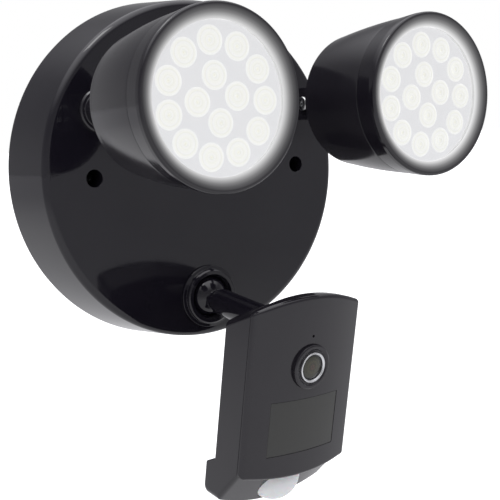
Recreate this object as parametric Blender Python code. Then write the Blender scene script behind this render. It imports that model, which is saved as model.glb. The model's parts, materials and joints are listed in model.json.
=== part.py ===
"""Wall-mounted floodlight security camera: two round LED lamps on hinged brackets and a camera head
on a ball joint, all carried by one round base.

The origin is the centre of the base where it meets the wall. +X is to the right for someone who faces
the object, the front looks along -Y and +Z is up. Sizes below are in millimetres, and every mesh is
scaled to metres when it is made. A "depth" is a distance forward of the wall, of the lamp's hinge pin
or of the camera's ball, as each section says.
"""

import math

import bmesh
import bpy
from mathutils import Matrix, Vector

MM = 0.001
GAP = 0.3  # clearance between neighbouring pieces

# Base: a shallow drum, widest at the wall
BASE_BACK_R = 95.0
BASE_FRONT_R = 91.5
FACE_DEPTH = 41.2
BASE_EDGE_R = 3.8
BASE_WALL = 2.5
RIM_DEPTH = 2.3
RIM_INNER_R = 90.0
PLATE_FRONT = 6.6
PLATE_BACK = 4.6
CABLE_HOLE_R = 11.0

# The two long screws that hold the base on its wall bracket
MOUNT_X = 64.3
MOUNT_BORE_R = 4.5
MOUNT_FLOOR = 10.0
MOUNT_SHANK_R = 1.9

# Lamps
LAMP_X = 59.3
LAMP_Z = 34.0
PIVOT_DEPTH = 70.0
NECK_R = 8.8
FLANGE_R = 11.2
SOCKET_R = NECK_R + GAP
FORK_HALF = 8.8
SLOT_HALF = 4.4
LUG_HALF = 4.0
BOLT_R = 2.5
BOLT_BORE_R = BOLT_R + GAP
BELL_BACK = 26.0
BELL_BACK_R = 33.5
BELL_CORNER_R = 8.0
BELL_FRONT = 74.7
BELL_FRONT_R = 37.6
BELL_BULGE = 0.8
BELL_WALL = 2.4
LAMP_RIM = 87.0
LAMP_RIM_R = 38.5
WINDOW_R = 31.6
WINDOW_FRONT = 83.7
LENS_FRONT = 81.7
LED_OUTER_COUNT = 11
LED_OUTER_R = 23.7
LED_OUTER_START = 96.0
LED_INNER_COUNT = 4
LED_INNER_R = 9.7
LED_INNER_START = 96.0
OPTIC_R = 6.3

# Camera joint
BALL_DEPTH = 37.0
BALL_Z = -69.5
BALL_R = 12.2
LIP_R = 11.0
MOUTH_R = 12.4
MOUTH_DEPTH = 45.6
CUP_R = 14.2
ARM_R = 7.2
SPIGOT_R = 6.4
ARM_LENGTH = 64.3
REST_PITCH = 7.5
REST_YAW = 3.6
REST_ROLL = 3.4

# Camera head, in its own frame: x right, depth forward of the head's back, v up from the arm's axis
HEAD_HALF = 34.6
HEAD_WALL = 2.3
SEAM = 18.8
FACE_EDGE = 21.7
FACE_BULGE = 4.5
TOP_BACK = 5.65
TOP_SEAM = 14.8
TOP_RISE = 6.5
CORNER_R = 2.5
LEDGE_TOP = -64.7
LEDGE_LOW = -68.8
FOOT_BACK = -6.8
FOOT_FRONT = 5.2
FOOT_LOW = -84.8
FOOT_DROP = 6.7
CHAMFER_TOP = -67.5
CHAMFER_DROP = 3.0
LENS_V = -13.5
LENS_BEZEL_R = 11.3
MIC_V = 1.9
IR_HALF = 21.8
IR_TOP = -29.8
IR_LOW = -57.9
PIR_DEPTH = 5.6
PIR_V = -77.0
PIR_R = 14.2
PIR_TILT = 33.0

# Facets around a turned piece, by its size
ROUND_BIG = 40
ROUND_MID = 20
ROUND_SMALL = 14
ROUND_TINY = 8


# ---------------------------------------------------------------- making and joining meshes

def clear_scene():
    for old in list(bpy.data.objects):
        bpy.data.objects.remove(old, do_unlink=True)


def material(name, colour, roughness, metallic=0.0, alpha=1.0):
    made = bpy.data.materials.get(name)
    if made:
        return made
    made = bpy.data.materials.new(name)
    made.use_nodes = True
    shader = made.node_tree.nodes["Principled BSDF"]
    shader.inputs["Base Color"].default_value = (*colour, 1.0)
    shader.inputs["Roughness"].default_value = roughness
    shader.inputs["Metallic"].default_value = metallic
    shader.inputs["Alpha"].default_value = alpha
    return made


def gloss_black():
    return material("gloss_black_plastic", (0.022, 0.021, 0.025), 0.12)


def satin_black():
    return material("satin_black_plastic", (0.045, 0.044, 0.048), 0.38)


def dark_plastic():
    return material("dark_plastic", (0.03, 0.03, 0.032), 0.55)


def clear_plastic():
    return material("clear_plastic", (0.95, 0.95, 0.96), 0.05, alpha=0.35)


def optic_plastic():
    return material("optic_plastic", (0.93, 0.93, 0.88), 0.2)


def white_plastic():
    return material("white_plastic", (0.86, 0.86, 0.86), 0.35)


def smoked_plastic():
    return material("smoked_plastic", (0.07, 0.072, 0.07), 0.3)


def steel():
    return material("steel", (0.62, 0.62, 0.64), 0.3, 1.0)


def aluminium():
    return material("aluminium", (0.72, 0.73, 0.75), 0.42, 1.0)


def rubber():
    return material("rubber", (0.02, 0.02, 0.02), 0.8)


def circuit_board():
    return material("circuit_board", (0.02, 0.16, 0.07), 0.45)


def component_plastic():
    return material("component_plastic", (0.08, 0.08, 0.1), 0.5)


def lens_glass_look():
    return material("lens_glass", (0.05, 0.045, 0.03), 0.03, alpha=0.6)


def new_object(name, points, faces):
    """A mesh object from points in millimetres, with its normals made to point out."""
    mesh = bpy.data.meshes.new(name)
    mesh.from_pydata([tuple(c * MM for c in p) for p in points], [], faces)
    work = bmesh.new()
    work.from_mesh(mesh)
    bmesh.ops.recalc_face_normals(work, faces=work.faces)
    work.to_mesh(mesh)
    work.free()
    made = bpy.data.objects.new(name, mesh)
    bpy.context.scene.collection.objects.link(made)
    return made


def turned(name, profile, sides, centre=(0.0, 0.0)):
    """A profile of (radius, depth) points, turned about an axis that runs forward through centre.

    A profile whose ends lie on the axis makes a solid, and any other closes on itself as a ring. An
    end at the same depth as its neighbour is a flat cap of one face, and any other end is a point.
    """
    solid = profile[0][0] == 0.0 and profile[-1][0] == 0.0
    points = []
    rings = []
    faces = []
    last = len(profile) - 1
    for index, (radius, depth) in enumerate(profile):
        neighbour = profile[1 if index == 0 else index - 1]
        if radius == 0.0 and neighbour[1] == depth:
            continue
        sides_here = sides if radius > 0.0 else 1
        first = len(points)
        rings.append(list(range(first, first + sides_here)))
        for k in range(sides_here):
            turn = 2.0 * math.pi * (k + 0.5) / sides
            x, z = centre[0] + radius * math.cos(turn), centre[1] + radius * math.sin(turn)
            points.append((x, -depth, z))
    if solid and profile[0][1] == profile[1][1]:
        faces.append(tuple(rings[0]))
    if solid and profile[last][1] == profile[last - 1][1]:
        faces.append(tuple(rings[-1]))
    pairs = list(zip(rings, rings[1:]))
    if not solid:
        pairs.append((rings[-1], rings[0]))
    for a, b in pairs:
        for k in range(sides):
            n = (k + 1) % sides
            if len(a) == 1:
                faces.append((a[0], b[n], b[k]))
            elif len(b) == 1:
                faces.append((a[k], a[n], b[0]))
            else:
                faces.append((a[k], a[n], b[n], b[k]))
    return new_object(name, points, faces)


def cylinder(name, radius, back, front, sides=ROUND_SMALL, centre=(0.0, 0.0)):
    return turned(name, [(0.0, back), (radius, back), (radius, front), (0.0, front)], sides, centre)


def ring(name, inner, outer, back, front, sides=ROUND_SMALL, centre=(0.0, 0.0)):
    profile = [(inner, back), (outer, back), (outer, front), (inner, front)]
    return turned(name, profile, sides, centre)


def block(name, x, depth, z):
    """A box from its low and high limits in x, depth and z."""
    points = [(i, -j, k) for i in x for j in depth for k in z]
    faces = [(0, 1, 3, 2), (4, 6, 7, 5), (0, 4, 5, 1), (2, 3, 7, 6), (0, 2, 6, 4), (1, 5, 7, 3)]
    return new_object(name, points, faces)


def slab(name, outline, x_low, x_high):
    """An outline of (depth, z) points, extruded sideways from x_low to x_high."""
    count = len(outline)
    points = [(x, -d, z) for x in (x_low, x_high) for d, z in outline]
    faces = [tuple(range(count)), tuple(range(count, 2 * count))]
    for k in range(count):
        n = (k + 1) % count
        faces.append((k, n, count + n, count + k))
    return new_object(name, points, faces)


def lofted(name, section, stations):
    """Sections of (depth, v) points, one for each x in stations, skinned into one closed body."""
    loops = [[(x, -d, v) for d, v in section(x)] for x in stations]
    count = len(loops[0])
    points = [p for loop in loops for p in loop]
    last = count * (len(loops) - 1)
    faces = [tuple(range(count)), tuple(range(last, last + count))]
    for i in range(len(loops) - 1):
        for k in range(count):
            n = (k + 1) % count
            a = i * count
            b = a + count
            faces.append((a + k, a + n, b + n, b + k))
    return new_object(name, points, faces)


def arc(centre_r, centre_d, radius, start, end, steps):
    """Points of a circular arc in a (radius, depth) profile, from angle start to angle end in degrees."""
    points = []
    for k in range(steps + 1):
        turn = math.radians(start + (end - start) * k / steps)
        points.append((centre_r + radius * math.cos(turn), centre_d + radius * math.sin(turn)))
    return points


def combine(target, tool, operation):
    """Applies one Boolean to target and deletes the tool."""
    step = target.modifiers.new("step", "BOOLEAN")
    step.operation = operation
    step.object = tool
    graph = bpy.context.evaluated_depsgraph_get()
    result = bpy.data.meshes.new_from_object(target.evaluated_get(graph))
    target.modifiers.remove(step)
    old = target.data
    target.data = result
    result.name = target.name
    bpy.data.meshes.remove(old)
    bpy.data.objects.remove(tool, do_unlink=True)


def cut(target, tool):
    combine(target, tool, "DIFFERENCE")


def add(target, tool):
    combine(target, tool, "UNION")


def turn_about_x(thing, degrees, depth, v):
    """Turns a mesh about an axis along X through (depth, v)."""
    place = Matrix.Translation(Vector((0.0, -depth, v)) * MM)
    thing.data.transform(place @ Matrix.Rotation(math.radians(degrees), 4, "X") @ place.inverted())


def lie_along_x(thing):
    """Turns a piece made along the forward axis so that its depth runs along +X."""
    thing.data.transform(Matrix.Rotation(math.radians(90.0), 4, "Z"))


def finish(thing, look, parent=None):
    thing.data.materials.clear()
    thing.data.materials.append(look)
    thing.data.shade_smooth()
    thing.data.set_sharp_from_angle(angle=math.radians(35.0))
    if parent:
        thing.parent = parent
    return thing


def axis_empty(name, location, turn=(0.0, 0.0, 0.0), order="XYZ", parent=None):
    """An empty on a joint's axis, turned by three angles that are applied in the given order."""
    made = bpy.data.objects.new(name, None)
    made.location = [c * MM for c in location]
    made.rotation_mode = order
    made.rotation_euler = turn
    bpy.context.scene.collection.objects.link(made)
    if parent:
        made.parent = parent
    return made


def screw(name, head_r, head_h, shank_r, seat, tip, centre=(0.0, 0.0), sides=ROUND_TINY):
    """A screw whose head stands forward of the depth seat and whose shank runs back to the depth tip."""
    profile = [
        (0.0, tip),
        (shank_r * 0.7, tip),
        (shank_r, tip + shank_r),
        (shank_r, seat),
        (head_r, seat),
        (head_r, seat + head_h * 0.6),
        (head_r * 0.75, seat + head_h),
        (0.0, seat + head_h),
    ]
    made = turned(name, profile, sides, centre)
    slot = 0.18 * head_r
    reach = 0.6 * head_r
    low = seat + head_h * 0.5
    high = seat + head_h + 1.0
    x, z = centre
    cut(made, block("slot", (x - reach, x + reach), (low, high), (z - slot, z + slot)))
    cut(made, block("slot", (x - slot, x + slot), (low, high), (z - reach, z + reach)))
    return made


# ---------------------------------------------------------------- base

def base_housing():
    """The drum: a turned shell, open at the wall, with sockets for the lamps and the camera."""
    side_top = FACE_DEPTH - BASE_EDGE_R
    inner_face = FACE_DEPTH - BASE_WALL
    inner_front_r = BASE_FRONT_R - BASE_WALL
    profile = [(0.0, FACE_DEPTH)]
    edge = arc(BASE_FRONT_R - BASE_EDGE_R, side_top, BASE_EDGE_R, 90.0, 0.0, 3)
    profile += edge
    profile += [(BASE_BACK_R, RIM_DEPTH), (RIM_INNER_R, RIM_DEPTH), (RIM_INNER_R, PLATE_FRONT)]
    profile += [(BASE_BACK_R - BASE_WALL - 0.3, PLATE_FRONT + 2.0)]
    profile += [(inner_front_r, inner_face - 2.0), (inner_front_r - 2.0, inner_face), (0.0, inner_face)]
    shell = turned("base_housing", profile, ROUND_BIG)
    for side in (-1, 1):
        mount = (side * MOUNT_X, 0.0)
        tube_end = PLATE_FRONT + GAP
        add(shell, cylinder("tube", MOUNT_BORE_R + 2.2, tube_end, inner_face + 1.0, ROUND_SMALL, mount))
        cut(shell, cylinder("bore", MOUNT_BORE_R, MOUNT_FLOOR, FACE_DEPTH + 5.0, ROUND_SMALL, mount))
        cut(shell, cylinder("hole", MOUNT_SHANK_R + 0.5, 0.0, MOUNT_FLOOR + 1.0, ROUND_TINY, mount))
        socket = (side * LAMP_X, LAMP_Z)
        cut(shell, cylinder("socket", SOCKET_R, inner_face - 5.0, FACE_DEPTH + 5.0, ROUND_SMALL, socket))
    for x, z in plate_screw_places():
        add(shell, cylinder("boss", 3.6, PLATE_FRONT + GAP, inner_face + 1.0, ROUND_TINY, (x, z)))
        cut(shell, cylinder("pilot", 1.8, 0.0, 18.0, ROUND_TINY, (x, z)))
    ball = (0.0, BALL_Z)
    cut(shell, cylinder("socket", 15.7, inner_face - 5.0, FACE_DEPTH + 5.0, ROUND_MID, ball))
    for x, z in clamp_screw_places():
        add(shell, cylinder("boss", 3.8, 36.6, inner_face + 1.0, ROUND_TINY, (x, z)))
        cut(shell, cylinder("pilot", 1.7, 30.0, 39.6, ROUND_TINY, (x, z)))
    for x, z in board_post_places():
        add(shell, cylinder("post", 3.0, 24.3, inner_face + 1.0, ROUND_TINY, (x, z)))
    return finish(shell, gloss_black())


def plate_screw_places():
    return [(0.0, 80.0), (-80.0, -22.0), (80.0, -22.0)]


def clamp_screw_places():
    return [(-23.5, BALL_Z), (23.5, BALL_Z)]


def board_post_places():
    return [(-36.0, 42.0), (36.0, 42.0), (-36.0, -26.0), (36.0, -26.0)]


def wall_bracket():
    """A steel strip on the wall, with a cable hole, two slots and two threaded collars."""
    half = 76.0
    strip = block("wall_bracket", (-half, half), (0.0, 2.0), (-8.0, 8.0))
    for side in (-1, 1):
        mount = (side * MOUNT_X, 0.0)
        add(strip, cylinder("collar", 4.6, 1.0, 4.0, ROUND_TINY, mount))
        cut(strip, cylinder("thread", MOUNT_SHANK_R + 0.35, -1.0, 6.0, ROUND_TINY, mount))
        cut(strip, block("slot", sorted((side * 22.0, side * 48.0)), (-1.0, 3.0), (-2.4, 2.4)))
    cut(strip, cylinder("cable_hole", 6.0, -1.0, 3.0, ROUND_SMALL))
    return finish(strip, steel())


def base_small_pieces():
    gasket = ring("wall_gasket", RIM_INNER_R + 0.4, BASE_BACK_R - 0.5, 0.0, RIM_DEPTH - GAP, ROUND_BIG)
    finish(gasket, rubber())
    plate = ring("back_plate", CABLE_HOLE_R, RIM_INNER_R - 0.4, PLATE_BACK, PLATE_FRONT, ROUND_BIG)
    for side in (-1, 1):
        cut(plate, cylinder("clear", 5.2, 0.0, 10.0, ROUND_TINY, (side * MOUNT_X, 0.0)))
    for x, z in plate_screw_places():
        cut(plate, cylinder("clear", 1.8, 0.0, 10.0, ROUND_TINY, (x, z)))
    finish(plate, dark_plastic())
    grommet = [(8.0, 3.6), (12.6, 3.6), (12.6, PLATE_BACK - GAP), (10.6, PLATE_BACK - GAP)]
    grommet += [(10.6, PLATE_FRONT + GAP), (12.6, PLATE_FRONT + GAP), (12.6, 8.2), (8.0, 8.2)]
    finish(turned("cable_grommet", grommet, ROUND_SMALL), rubber())
    for number, (x, z) in enumerate(plate_screw_places(), 1):
        made = plate_screw(f"back_plate_screw_{number}", (x, z))
        finish(made, steel())
    for side, word in ((-1, "left"), (1, "right")):
        seat = MOUNT_FLOOR + GAP
        made = screw(f"mounting_screw_{word}", 3.9, 2.8, MOUNT_SHANK_R, seat, 0.4, (side * MOUNT_X, 0.0))
        finish(made, steel())


def plate_screw(name, centre):
    """A short screw driven forward into a boss, so its head lies behind the back plate."""
    profile = [
        (0.0, PLATE_BACK - GAP - 1.8),
        (2.2, PLATE_BACK - GAP - 1.8),
        (3.0, PLATE_BACK - GAP - 1.0),
        (3.0, PLATE_BACK - GAP),
        (1.4, PLATE_BACK - GAP),
        (1.4, 15.0),
        (0.0, 16.0),
    ]
    return turned(name, profile, ROUND_TINY, centre)


def driver_pieces():
    """The lamp driver on its board, held on four posts inside the drum."""
    board = block("driver_board", (-41.0, 41.0), (22.4, 24.0), (-31.0, 47.0))
    for x, z in board_post_places():
        cut(board, cylinder("clear", 1.6, 20.0, 26.0, ROUND_TINY, (x, z)))
    finish(board, circuit_board())
    core = block("driver_transformer", (-30.0, -6.0), (11.0, 22.1), (2.0, 26.0))
    add(core, block("winding", (-33.0, -3.0), (13.5, 19.5), (6.0, 22.0)))
    finish(core, component_plastic())
    finish(cylinder("driver_capacitor", 6.5, 9.0, 22.1, ROUND_SMALL, (18.0, 16.0)), component_plastic())
    terminal = block("terminal_block", (-18.0, 18.0), (11.5, 22.1), (-26.0, -14.0))
    for k in range(3):
        x = -11.5 + 11.5 * k
        cut(terminal, block("entry", (x - 3.0, x + 3.0), (14.0, 20.0), (-22.0, -10.0)))
        cut(terminal, cylinder("screw_well", 2.2, 8.0, 15.0, ROUND_TINY, (x, -21.0)))
    finish(terminal, white_plastic())


def socket_pieces():
    """The collar and the rear clamp that hold the camera's ball."""
    inner = BALL_R + GAP
    lip_depth = BALL_DEPTH + math.sqrt(inner * inner - LIP_R * LIP_R)
    first = math.degrees(math.atan2(lip_depth - BALL_DEPTH, LIP_R))
    seat = arc(0.0, BALL_DEPTH, inner, first, 0.0, 5)
    rise = FACE_DEPTH + GAP
    outside = [(17.2, rise), (17.2, 42.6), (15.2, 43.2), (15.0, 44.9)]
    outside += [(14.3, MOUTH_DEPTH), (MOUTH_R, MOUTH_DEPTH)]
    profile = outside + seat + [(inner, 36.6), (15.4, 36.6), (15.4, rise)]
    finish(turned("socket_ring", profile, ROUND_MID, (0.0, BALL_Z)), gloss_black())

    hollow = arc(0.0, BALL_DEPTH, CUP_R + GAP, -3.0, -70.0, 6)
    front = hollow[0][1]
    back = 20.8
    profile = hollow + [(hollow[-1][0], back), (16.0, back), (18.0, back + 3.0), (18.0, front)]
    clamp = turned("socket_clamp", profile, ROUND_MID, (0.0, BALL_Z))
    for side in (-1, 1):
        ear = block("ear", sorted((side * 16.6, side * 27.5)), (33.4, front), (BALL_Z - 5.0, BALL_Z + 5.0))
        add(clamp, ear)
    for x, z in clamp_screw_places():
        cut(clamp, cylinder("clear", 1.8, 20.0, 40.0, ROUND_TINY, (x, z)))
    finish(clamp, dark_plastic())
    for number, (x, z) in enumerate(clamp_screw_places(), 1):
        profile = [(0.0, 31.1), (2.9, 31.1), (2.9, 33.1), (1.4, 33.1), (1.4, 38.6), (0.0, 39.2)]
        finish(turned(f"clamp_screw_{number}", profile, ROUND_TINY, (x, z)), steel())


# ---------------------------------------------------------------- lamps

def bell_radius(depth):
    """Outer radius of the lamp's bell in front of its rounded back corner."""
    start = BELL_BACK + BELL_CORNER_R
    share = (depth - start) / (BELL_FRONT - start)
    straight = BELL_BACK_R + (BELL_FRONT_R - BELL_BACK_R) * share
    return straight + BELL_BULGE * 4.0 * share * (1.0 - share)


def bell_side(shift, front):
    """Points of the bell's corner and side, moved inward by shift, from the back to the front."""
    corner = arc(BELL_BACK_R - BELL_CORNER_R, BELL_BACK + BELL_CORNER_R, BELL_CORNER_R - shift, -90.0, 0.0, 3)
    start = BELL_BACK + BELL_CORNER_R
    side = []
    for k in range(1, 4):
        depth = start + (BELL_FRONT - start) * k / 3
        side.append((bell_radius(depth) - shift, depth if k < 3 else front))
    return corner + side


def led_places():
    """Centres of the fifteen LEDs: a ring of eleven around a ring of four."""
    places = []
    rings = ((LED_OUTER_COUNT, LED_OUTER_R, LED_OUTER_START), (LED_INNER_COUNT, LED_INNER_R, LED_INNER_START))
    for count, radius, start in rings:
        for k in range(count):
            turn = math.radians(start - 360.0 * k / count)
            places.append((radius * math.cos(turn), radius * math.sin(turn)))
    return places


def round_ended_outline(back, radius, steps):
    """A strip in (depth, z) from the depth back to a half-round end centred on the hinge pin."""
    outline = [(back, -radius)]
    for k in range(steps + 1):
        turn = math.radians(-90.0 + 180.0 * k / steps)
        outline.append((radius * math.cos(turn), radius * math.sin(turn)))
    outline.append((back, radius))
    return outline


def lamp_bracket(name):
    """A flanged stem through the base's face that ends in a fork. Depths are from the hinge pin."""
    face = FACE_DEPTH - PIVOT_DEPTH
    flange = face + GAP
    stem = [
        (0.0, face - 10.2),
        (NECK_R - 0.6, face - 10.2),
        (NECK_R, face - 9.6),
        (NECK_R, flange),
        (FLANGE_R, flange),
        (FLANGE_R, flange + 1.4),
        (FLANGE_R - 1.0, flange + 2.2),
        (NECK_R, flange + 2.2),
        (NECK_R, -12.0),
        (0.0, -12.0),
    ]
    made = turned(name, stem, ROUND_SMALL)
    add(made, slab("fork", round_ended_outline(-14.0, FORK_HALF, 8), -FORK_HALF, FORK_HALF))
    cut(made, block("slot", (-SLOT_HALF, SLOT_HALF), (-10.4, 20.0), (-20.0, 20.0)))
    cut(made, cylinder("wire_bore", 3.2, face - 20.0, -9.0, ROUND_TINY))
    bore = cylinder("bore", BOLT_BORE_R, -30.0, 30.0, ROUND_SMALL)
    lie_along_x(bore)
    cut(made, bore)
    return made


def lamp_housing(name):
    """The bell: a turned shell with a boss and a lug on its back."""
    outside = bell_side(0.0, BELL_FRONT)
    inside = bell_side(BELL_WALL, BELL_FRONT)
    profile = [(0.0, BELL_BACK)] + outside + inside[::-1] + [(0.0, BELL_BACK + BELL_WALL)]
    made = turned(name, profile, ROUND_MID)
    boss = [(0.0, 13.5), (7.0, 13.5), (9.5, 15.0), (12.5, BELL_BACK + 1.0), (0.0, BELL_BACK + 1.0)]
    add(made, turned("boss", boss, ROUND_SMALL))
    lug = [(-d, z) for d, z in round_ended_outline(-17.0, FORK_HALF - 0.9, 8)]
    add(made, slab("lug", lug, -LUG_HALF, LUG_HALF))
    bore = cylinder("bore", BOLT_BORE_R, -30.0, 30.0, ROUND_SMALL)
    lie_along_x(bore)
    cut(made, bore)
    return made


def lens_array(name):
    back = LENS_FRONT - 1.9
    plate = cylinder(name, WINDOW_R, back, LENS_FRONT, ROUND_MID)
    for x, z in led_places():
        tip = back - 6.4
        cone = [(0.0, tip), (3.6, tip), (OPTIC_R, back - 0.4), (OPTIC_R, back + 0.4), (0.0, back + 0.4)]
        add(plate, turned("cone", cone, ROUND_TINY, (x, z)))
    return plate


def led_board(name):
    front = LENS_FRONT - 9.3
    board = cylinder(name, 32.0, front - 1.6, front, ROUND_MID)
    for x, z in led_places():
        add(board, block("chip", (x - 1.7, x + 1.7), (front - 0.6, front + 0.7), (z - 1.7, z + 1.7)))
    return board


def heat_sink(name):
    front = LENS_FRONT - 11.2
    made = cylinder(name, 32.4, front - 2.9, front, ROUND_MID)
    for x in (-22.0, -13.2, -4.4, 4.4, 13.2, 22.0):
        reach = math.sqrt(28.0 * 28.0 - x * x)
        add(made, block("fin", (x - 0.9, x + 0.9), (front - 24.3, front - 1.9), (-reach, reach)))
    return made


def hinge_bolt(name, side):
    """Lies along X through the fork; its head has a hexagon socket and faces the lamp pair's middle."""
    profile = [
        (0.0, 13.2),
        (BOLT_R - 0.5, 13.2),
        (BOLT_R, 12.6),
        (BOLT_R, -FORK_HALF - GAP),
        (3.8, -FORK_HALF - GAP),
        (3.8, -FORK_HALF - 2.2),
        (3.1, -FORK_HALF - 3.0),
        (0.0, -FORK_HALF - 3.0),
    ]
    made = turned(name, profile, ROUND_SMALL)
    cut(made, cylinder("hexagon", 1.75, -FORK_HALF - 5.0, -FORK_HALF - 1.2, 6))
    lie_along_x(made)
    if side < 0:
        made.data.transform(Matrix.Rotation(math.pi, 4, "Z"))
    return made


def hinge_nut(name, side):
    made = cylinder(name, 4.8, FORK_HALF + GAP, FORK_HALF + GAP + 3.4, 6)
    cut(made, cylinder("bore", BOLT_BORE_R, 0.0, 30.0, ROUND_SMALL))
    lie_along_x(made)
    if side < 0:
        made.data.transform(Matrix.Rotation(math.pi, 4, "Z"))
    return made


def lamp(side, word):
    """One lamp: the pieces that swivel on the base, and those that also tilt on the hinge pin."""
    swivel = axis_empty(f"{word}_swivel_axis", (side * LAMP_X, -PIVOT_DEPTH, LAMP_Z))
    tilt = axis_empty(f"{word}_tilt_axis", (0.0, 0.0, 0.0), parent=swivel)
    face_inside = FACE_DEPTH - BASE_WALL - PIVOT_DEPTH

    finish(lamp_bracket(f"{word}_lamp_bracket"), satin_black(), swivel)
    washer_back = face_inside - GAP - 1.7
    finish(ring(f"{word}_swivel_washer", SOCKET_R, 12.4, washer_back, face_inside - GAP), rubber(), swivel)
    nut = cylinder(f"{word}_swivel_nut", 13.0, washer_back - GAP - 5.0, washer_back - GAP, 6)
    cut(nut, cylinder("bore", SOCKET_R, -60.0, 0.0, ROUND_SMALL))
    finish(nut, aluminium(), swivel)
    finish(hinge_bolt(f"{word}_hinge_bolt", side), steel(), swivel)
    finish(hinge_nut(f"{word}_hinge_nut", side), steel(), swivel)

    finish(lamp_housing(f"{word}_lamp_housing"), satin_black(), tilt)
    finish(turned(f"{word}_lamp_bezel", bezel_profile(), ROUND_MID), gloss_black(), tilt)
    window_back = LENS_FRONT + GAP
    finish(cylinder(f"{word}_lamp_window", 34.4, window_back, WINDOW_FRONT, ROUND_MID), clear_plastic(), tilt)
    finish(ring(f"{word}_lamp_seal", 32.2, 34.4, window_back - 1.9, LENS_FRONT, ROUND_MID), rubber(), tilt)
    finish(lens_array(f"{word}_lens_array"), optic_plastic(), tilt)
    finish(led_board(f"{word}_led_board"), white_plastic(), tilt)
    finish(heat_sink(f"{word}_heat_sink"), aluminium(), tilt)


def bezel_profile():
    """The front ring of a lamp: a rounded lip, then a cone that falls inward to the window."""
    back = BELL_FRONT + GAP
    lip = arc(LAMP_RIM_R - 1.8, LAMP_RIM - 1.8, 1.8, 0.0, 90.0, 3)
    seat = WINDOW_FRONT + GAP
    profile = [(BELL_FRONT_R + 0.1, back), (LAMP_RIM_R, back + 5.0)] + lip
    profile += [(WINDOW_R, seat + 0.6), (WINDOW_R, seat), (35.0, seat), (35.0, back)]
    return profile


# ---------------------------------------------------------------- camera joint

def camera_arm_pieces(ball_axis, arm_axis):
    """The ball with its arm, the cup behind the ball and the nut inside the camera head."""
    inner = BALL_R + GAP
    inside = arc(0.0, 0.0, inner, -28.0, -75.0, 4)
    outside = arc(0.0, 0.0, CUP_R, -75.0, -28.0, 4)
    finish(turned("ball_cup", inside + outside, ROUND_MID), white_plastic(), ball_axis)

    bore = 3.0
    start = -math.degrees(math.acos(bore / BALL_R))
    neck = math.degrees(math.acos(ARM_R / BALL_R))
    ball = arc(0.0, 0.0, BALL_R, start, neck, 9)
    shoulder = ARM_LENGTH - GAP
    end = ARM_LENGTH + 7.4
    arm = [(ARM_R, shoulder), (SPIGOT_R, shoulder), (SPIGOT_R, end), (bore, end)]
    finish(turned("ball_arm", ball + arm, ROUND_MID), gloss_black(), arm_axis)

    nut_back = ARM_LENGTH + HEAD_WALL + GAP
    nut = cylinder("arm_nut", 9.2, nut_back, nut_back + 4.0, 6)
    cut(nut, cylinder("bore", SPIGOT_R + GAP, 0.0, 100.0, ROUND_SMALL))
    finish(nut, steel(), arm_axis)


# ---------------------------------------------------------------- camera head

def stations(half, count):
    """Places across the head's width, closer together near its sides."""
    return [half * math.sin(0.5 * math.pi * (2.0 * k / (count - 1) - 1.0)) for k in range(count)]


def swell(x):
    """1 in the middle of the head and 0 at its sides."""
    share = min(abs(x) / HEAD_HALF, 1.0)
    return 1.0 - share * share


def corner_fall(x, half, radius):
    """How far a rounded corner of this radius lies below the straight edge at x."""
    into = max(abs(x) - (half - radius), 0.0)
    return radius - math.sqrt(max(radius * radius - into * into, 0.0))


def rear_section(x):
    """Side outline of the rear housing: sloping top, flat back, foot, and a chamfer up to the seam."""
    fall = corner_fall(x, HEAD_HALF, CORNER_R)
    rise = TOP_RISE * swell(x) - fall
    foot = FOOT_LOW - FOOT_DROP * swell(x) + fall
    chamfer = CHAMFER_TOP - CHAMFER_DROP * swell(x) + fall
    return [
        (0.0, TOP_BACK + rise),
        (SEAM - 0.15, TOP_SEAM + rise),
        (SEAM - 0.15, chamfer),
        (FOOT_FRONT, foot),
        (FOOT_BACK + 3.0, foot),
        (FOOT_BACK + 0.8, foot + 0.9),
        (FOOT_BACK, foot + 3.0),
        (FOOT_BACK, LEDGE_LOW - 1.0),
        (FOOT_BACK + 1.0, LEDGE_LOW),
        (0.0, LEDGE_TOP),
    ]


def rear_hollow(x):
    wall = HEAD_WALL
    rise = TOP_RISE * swell(x) - wall
    foot = FOOT_LOW - FOOT_DROP * swell(x) + wall
    chamfer = CHAMFER_TOP - CHAMFER_DROP * swell(x) + wall
    return [
        (wall, TOP_BACK + rise),
        (SEAM + 2.0, TOP_SEAM + rise + 1.0),
        (SEAM + 2.0, chamfer + 2.0),
        (FOOT_FRONT - 1.2, foot),
        (FOOT_BACK + wall + 0.6, foot),
        (FOOT_BACK + wall, LEDGE_LOW - wall),
        (wall, LEDGE_TOP - wall + 0.2),
    ]


def face_depth(x):
    """Depth of the head's convex front face."""
    return FACE_EDGE + FACE_BULGE * swell(x)


def cover_section(x):
    """Side outline of the front cover, with rounded edges above and below the face."""
    fall = corner_fall(x, HEAD_HALF, CORNER_R)
    top = TOP_SEAM + 1.0 + TOP_RISE * swell(x) - fall
    low = CHAMFER_TOP - 0.4 - CHAMFER_DROP * swell(x) + fall
    front = face_depth(x) - 0.6 * fall
    edge = 1.9
    points = [(SEAM + 0.15, top - 0.6)]
    for turn in (90.0, 60.0, 30.0, 0.0):
        angle = math.radians(turn)
        points.append((front - edge + edge * math.cos(angle), top - edge + edge * math.sin(angle)))
    for turn in (0.0, -30.0, -60.0, -90.0):
        angle = math.radians(turn)
        points.append((front - edge + edge * math.cos(angle), low + edge + edge * math.sin(angle)))
    points.append((SEAM + 0.15, low + 0.2))
    return points


def cover_hollow(x):
    top = TOP_SEAM + TOP_RISE * swell(x) - HEAD_WALL
    low = CHAMFER_TOP - CHAMFER_DROP * swell(x) + HEAD_WALL
    front = face_depth(x) - HEAD_WALL
    return [
        (SEAM - 2.0, top),
        (front - 0.6, top),
        (front, top - 1.0),
        (front, low + 1.0),
        (front - 0.6, low),
        (SEAM - 2.0, low),
    ]


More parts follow.
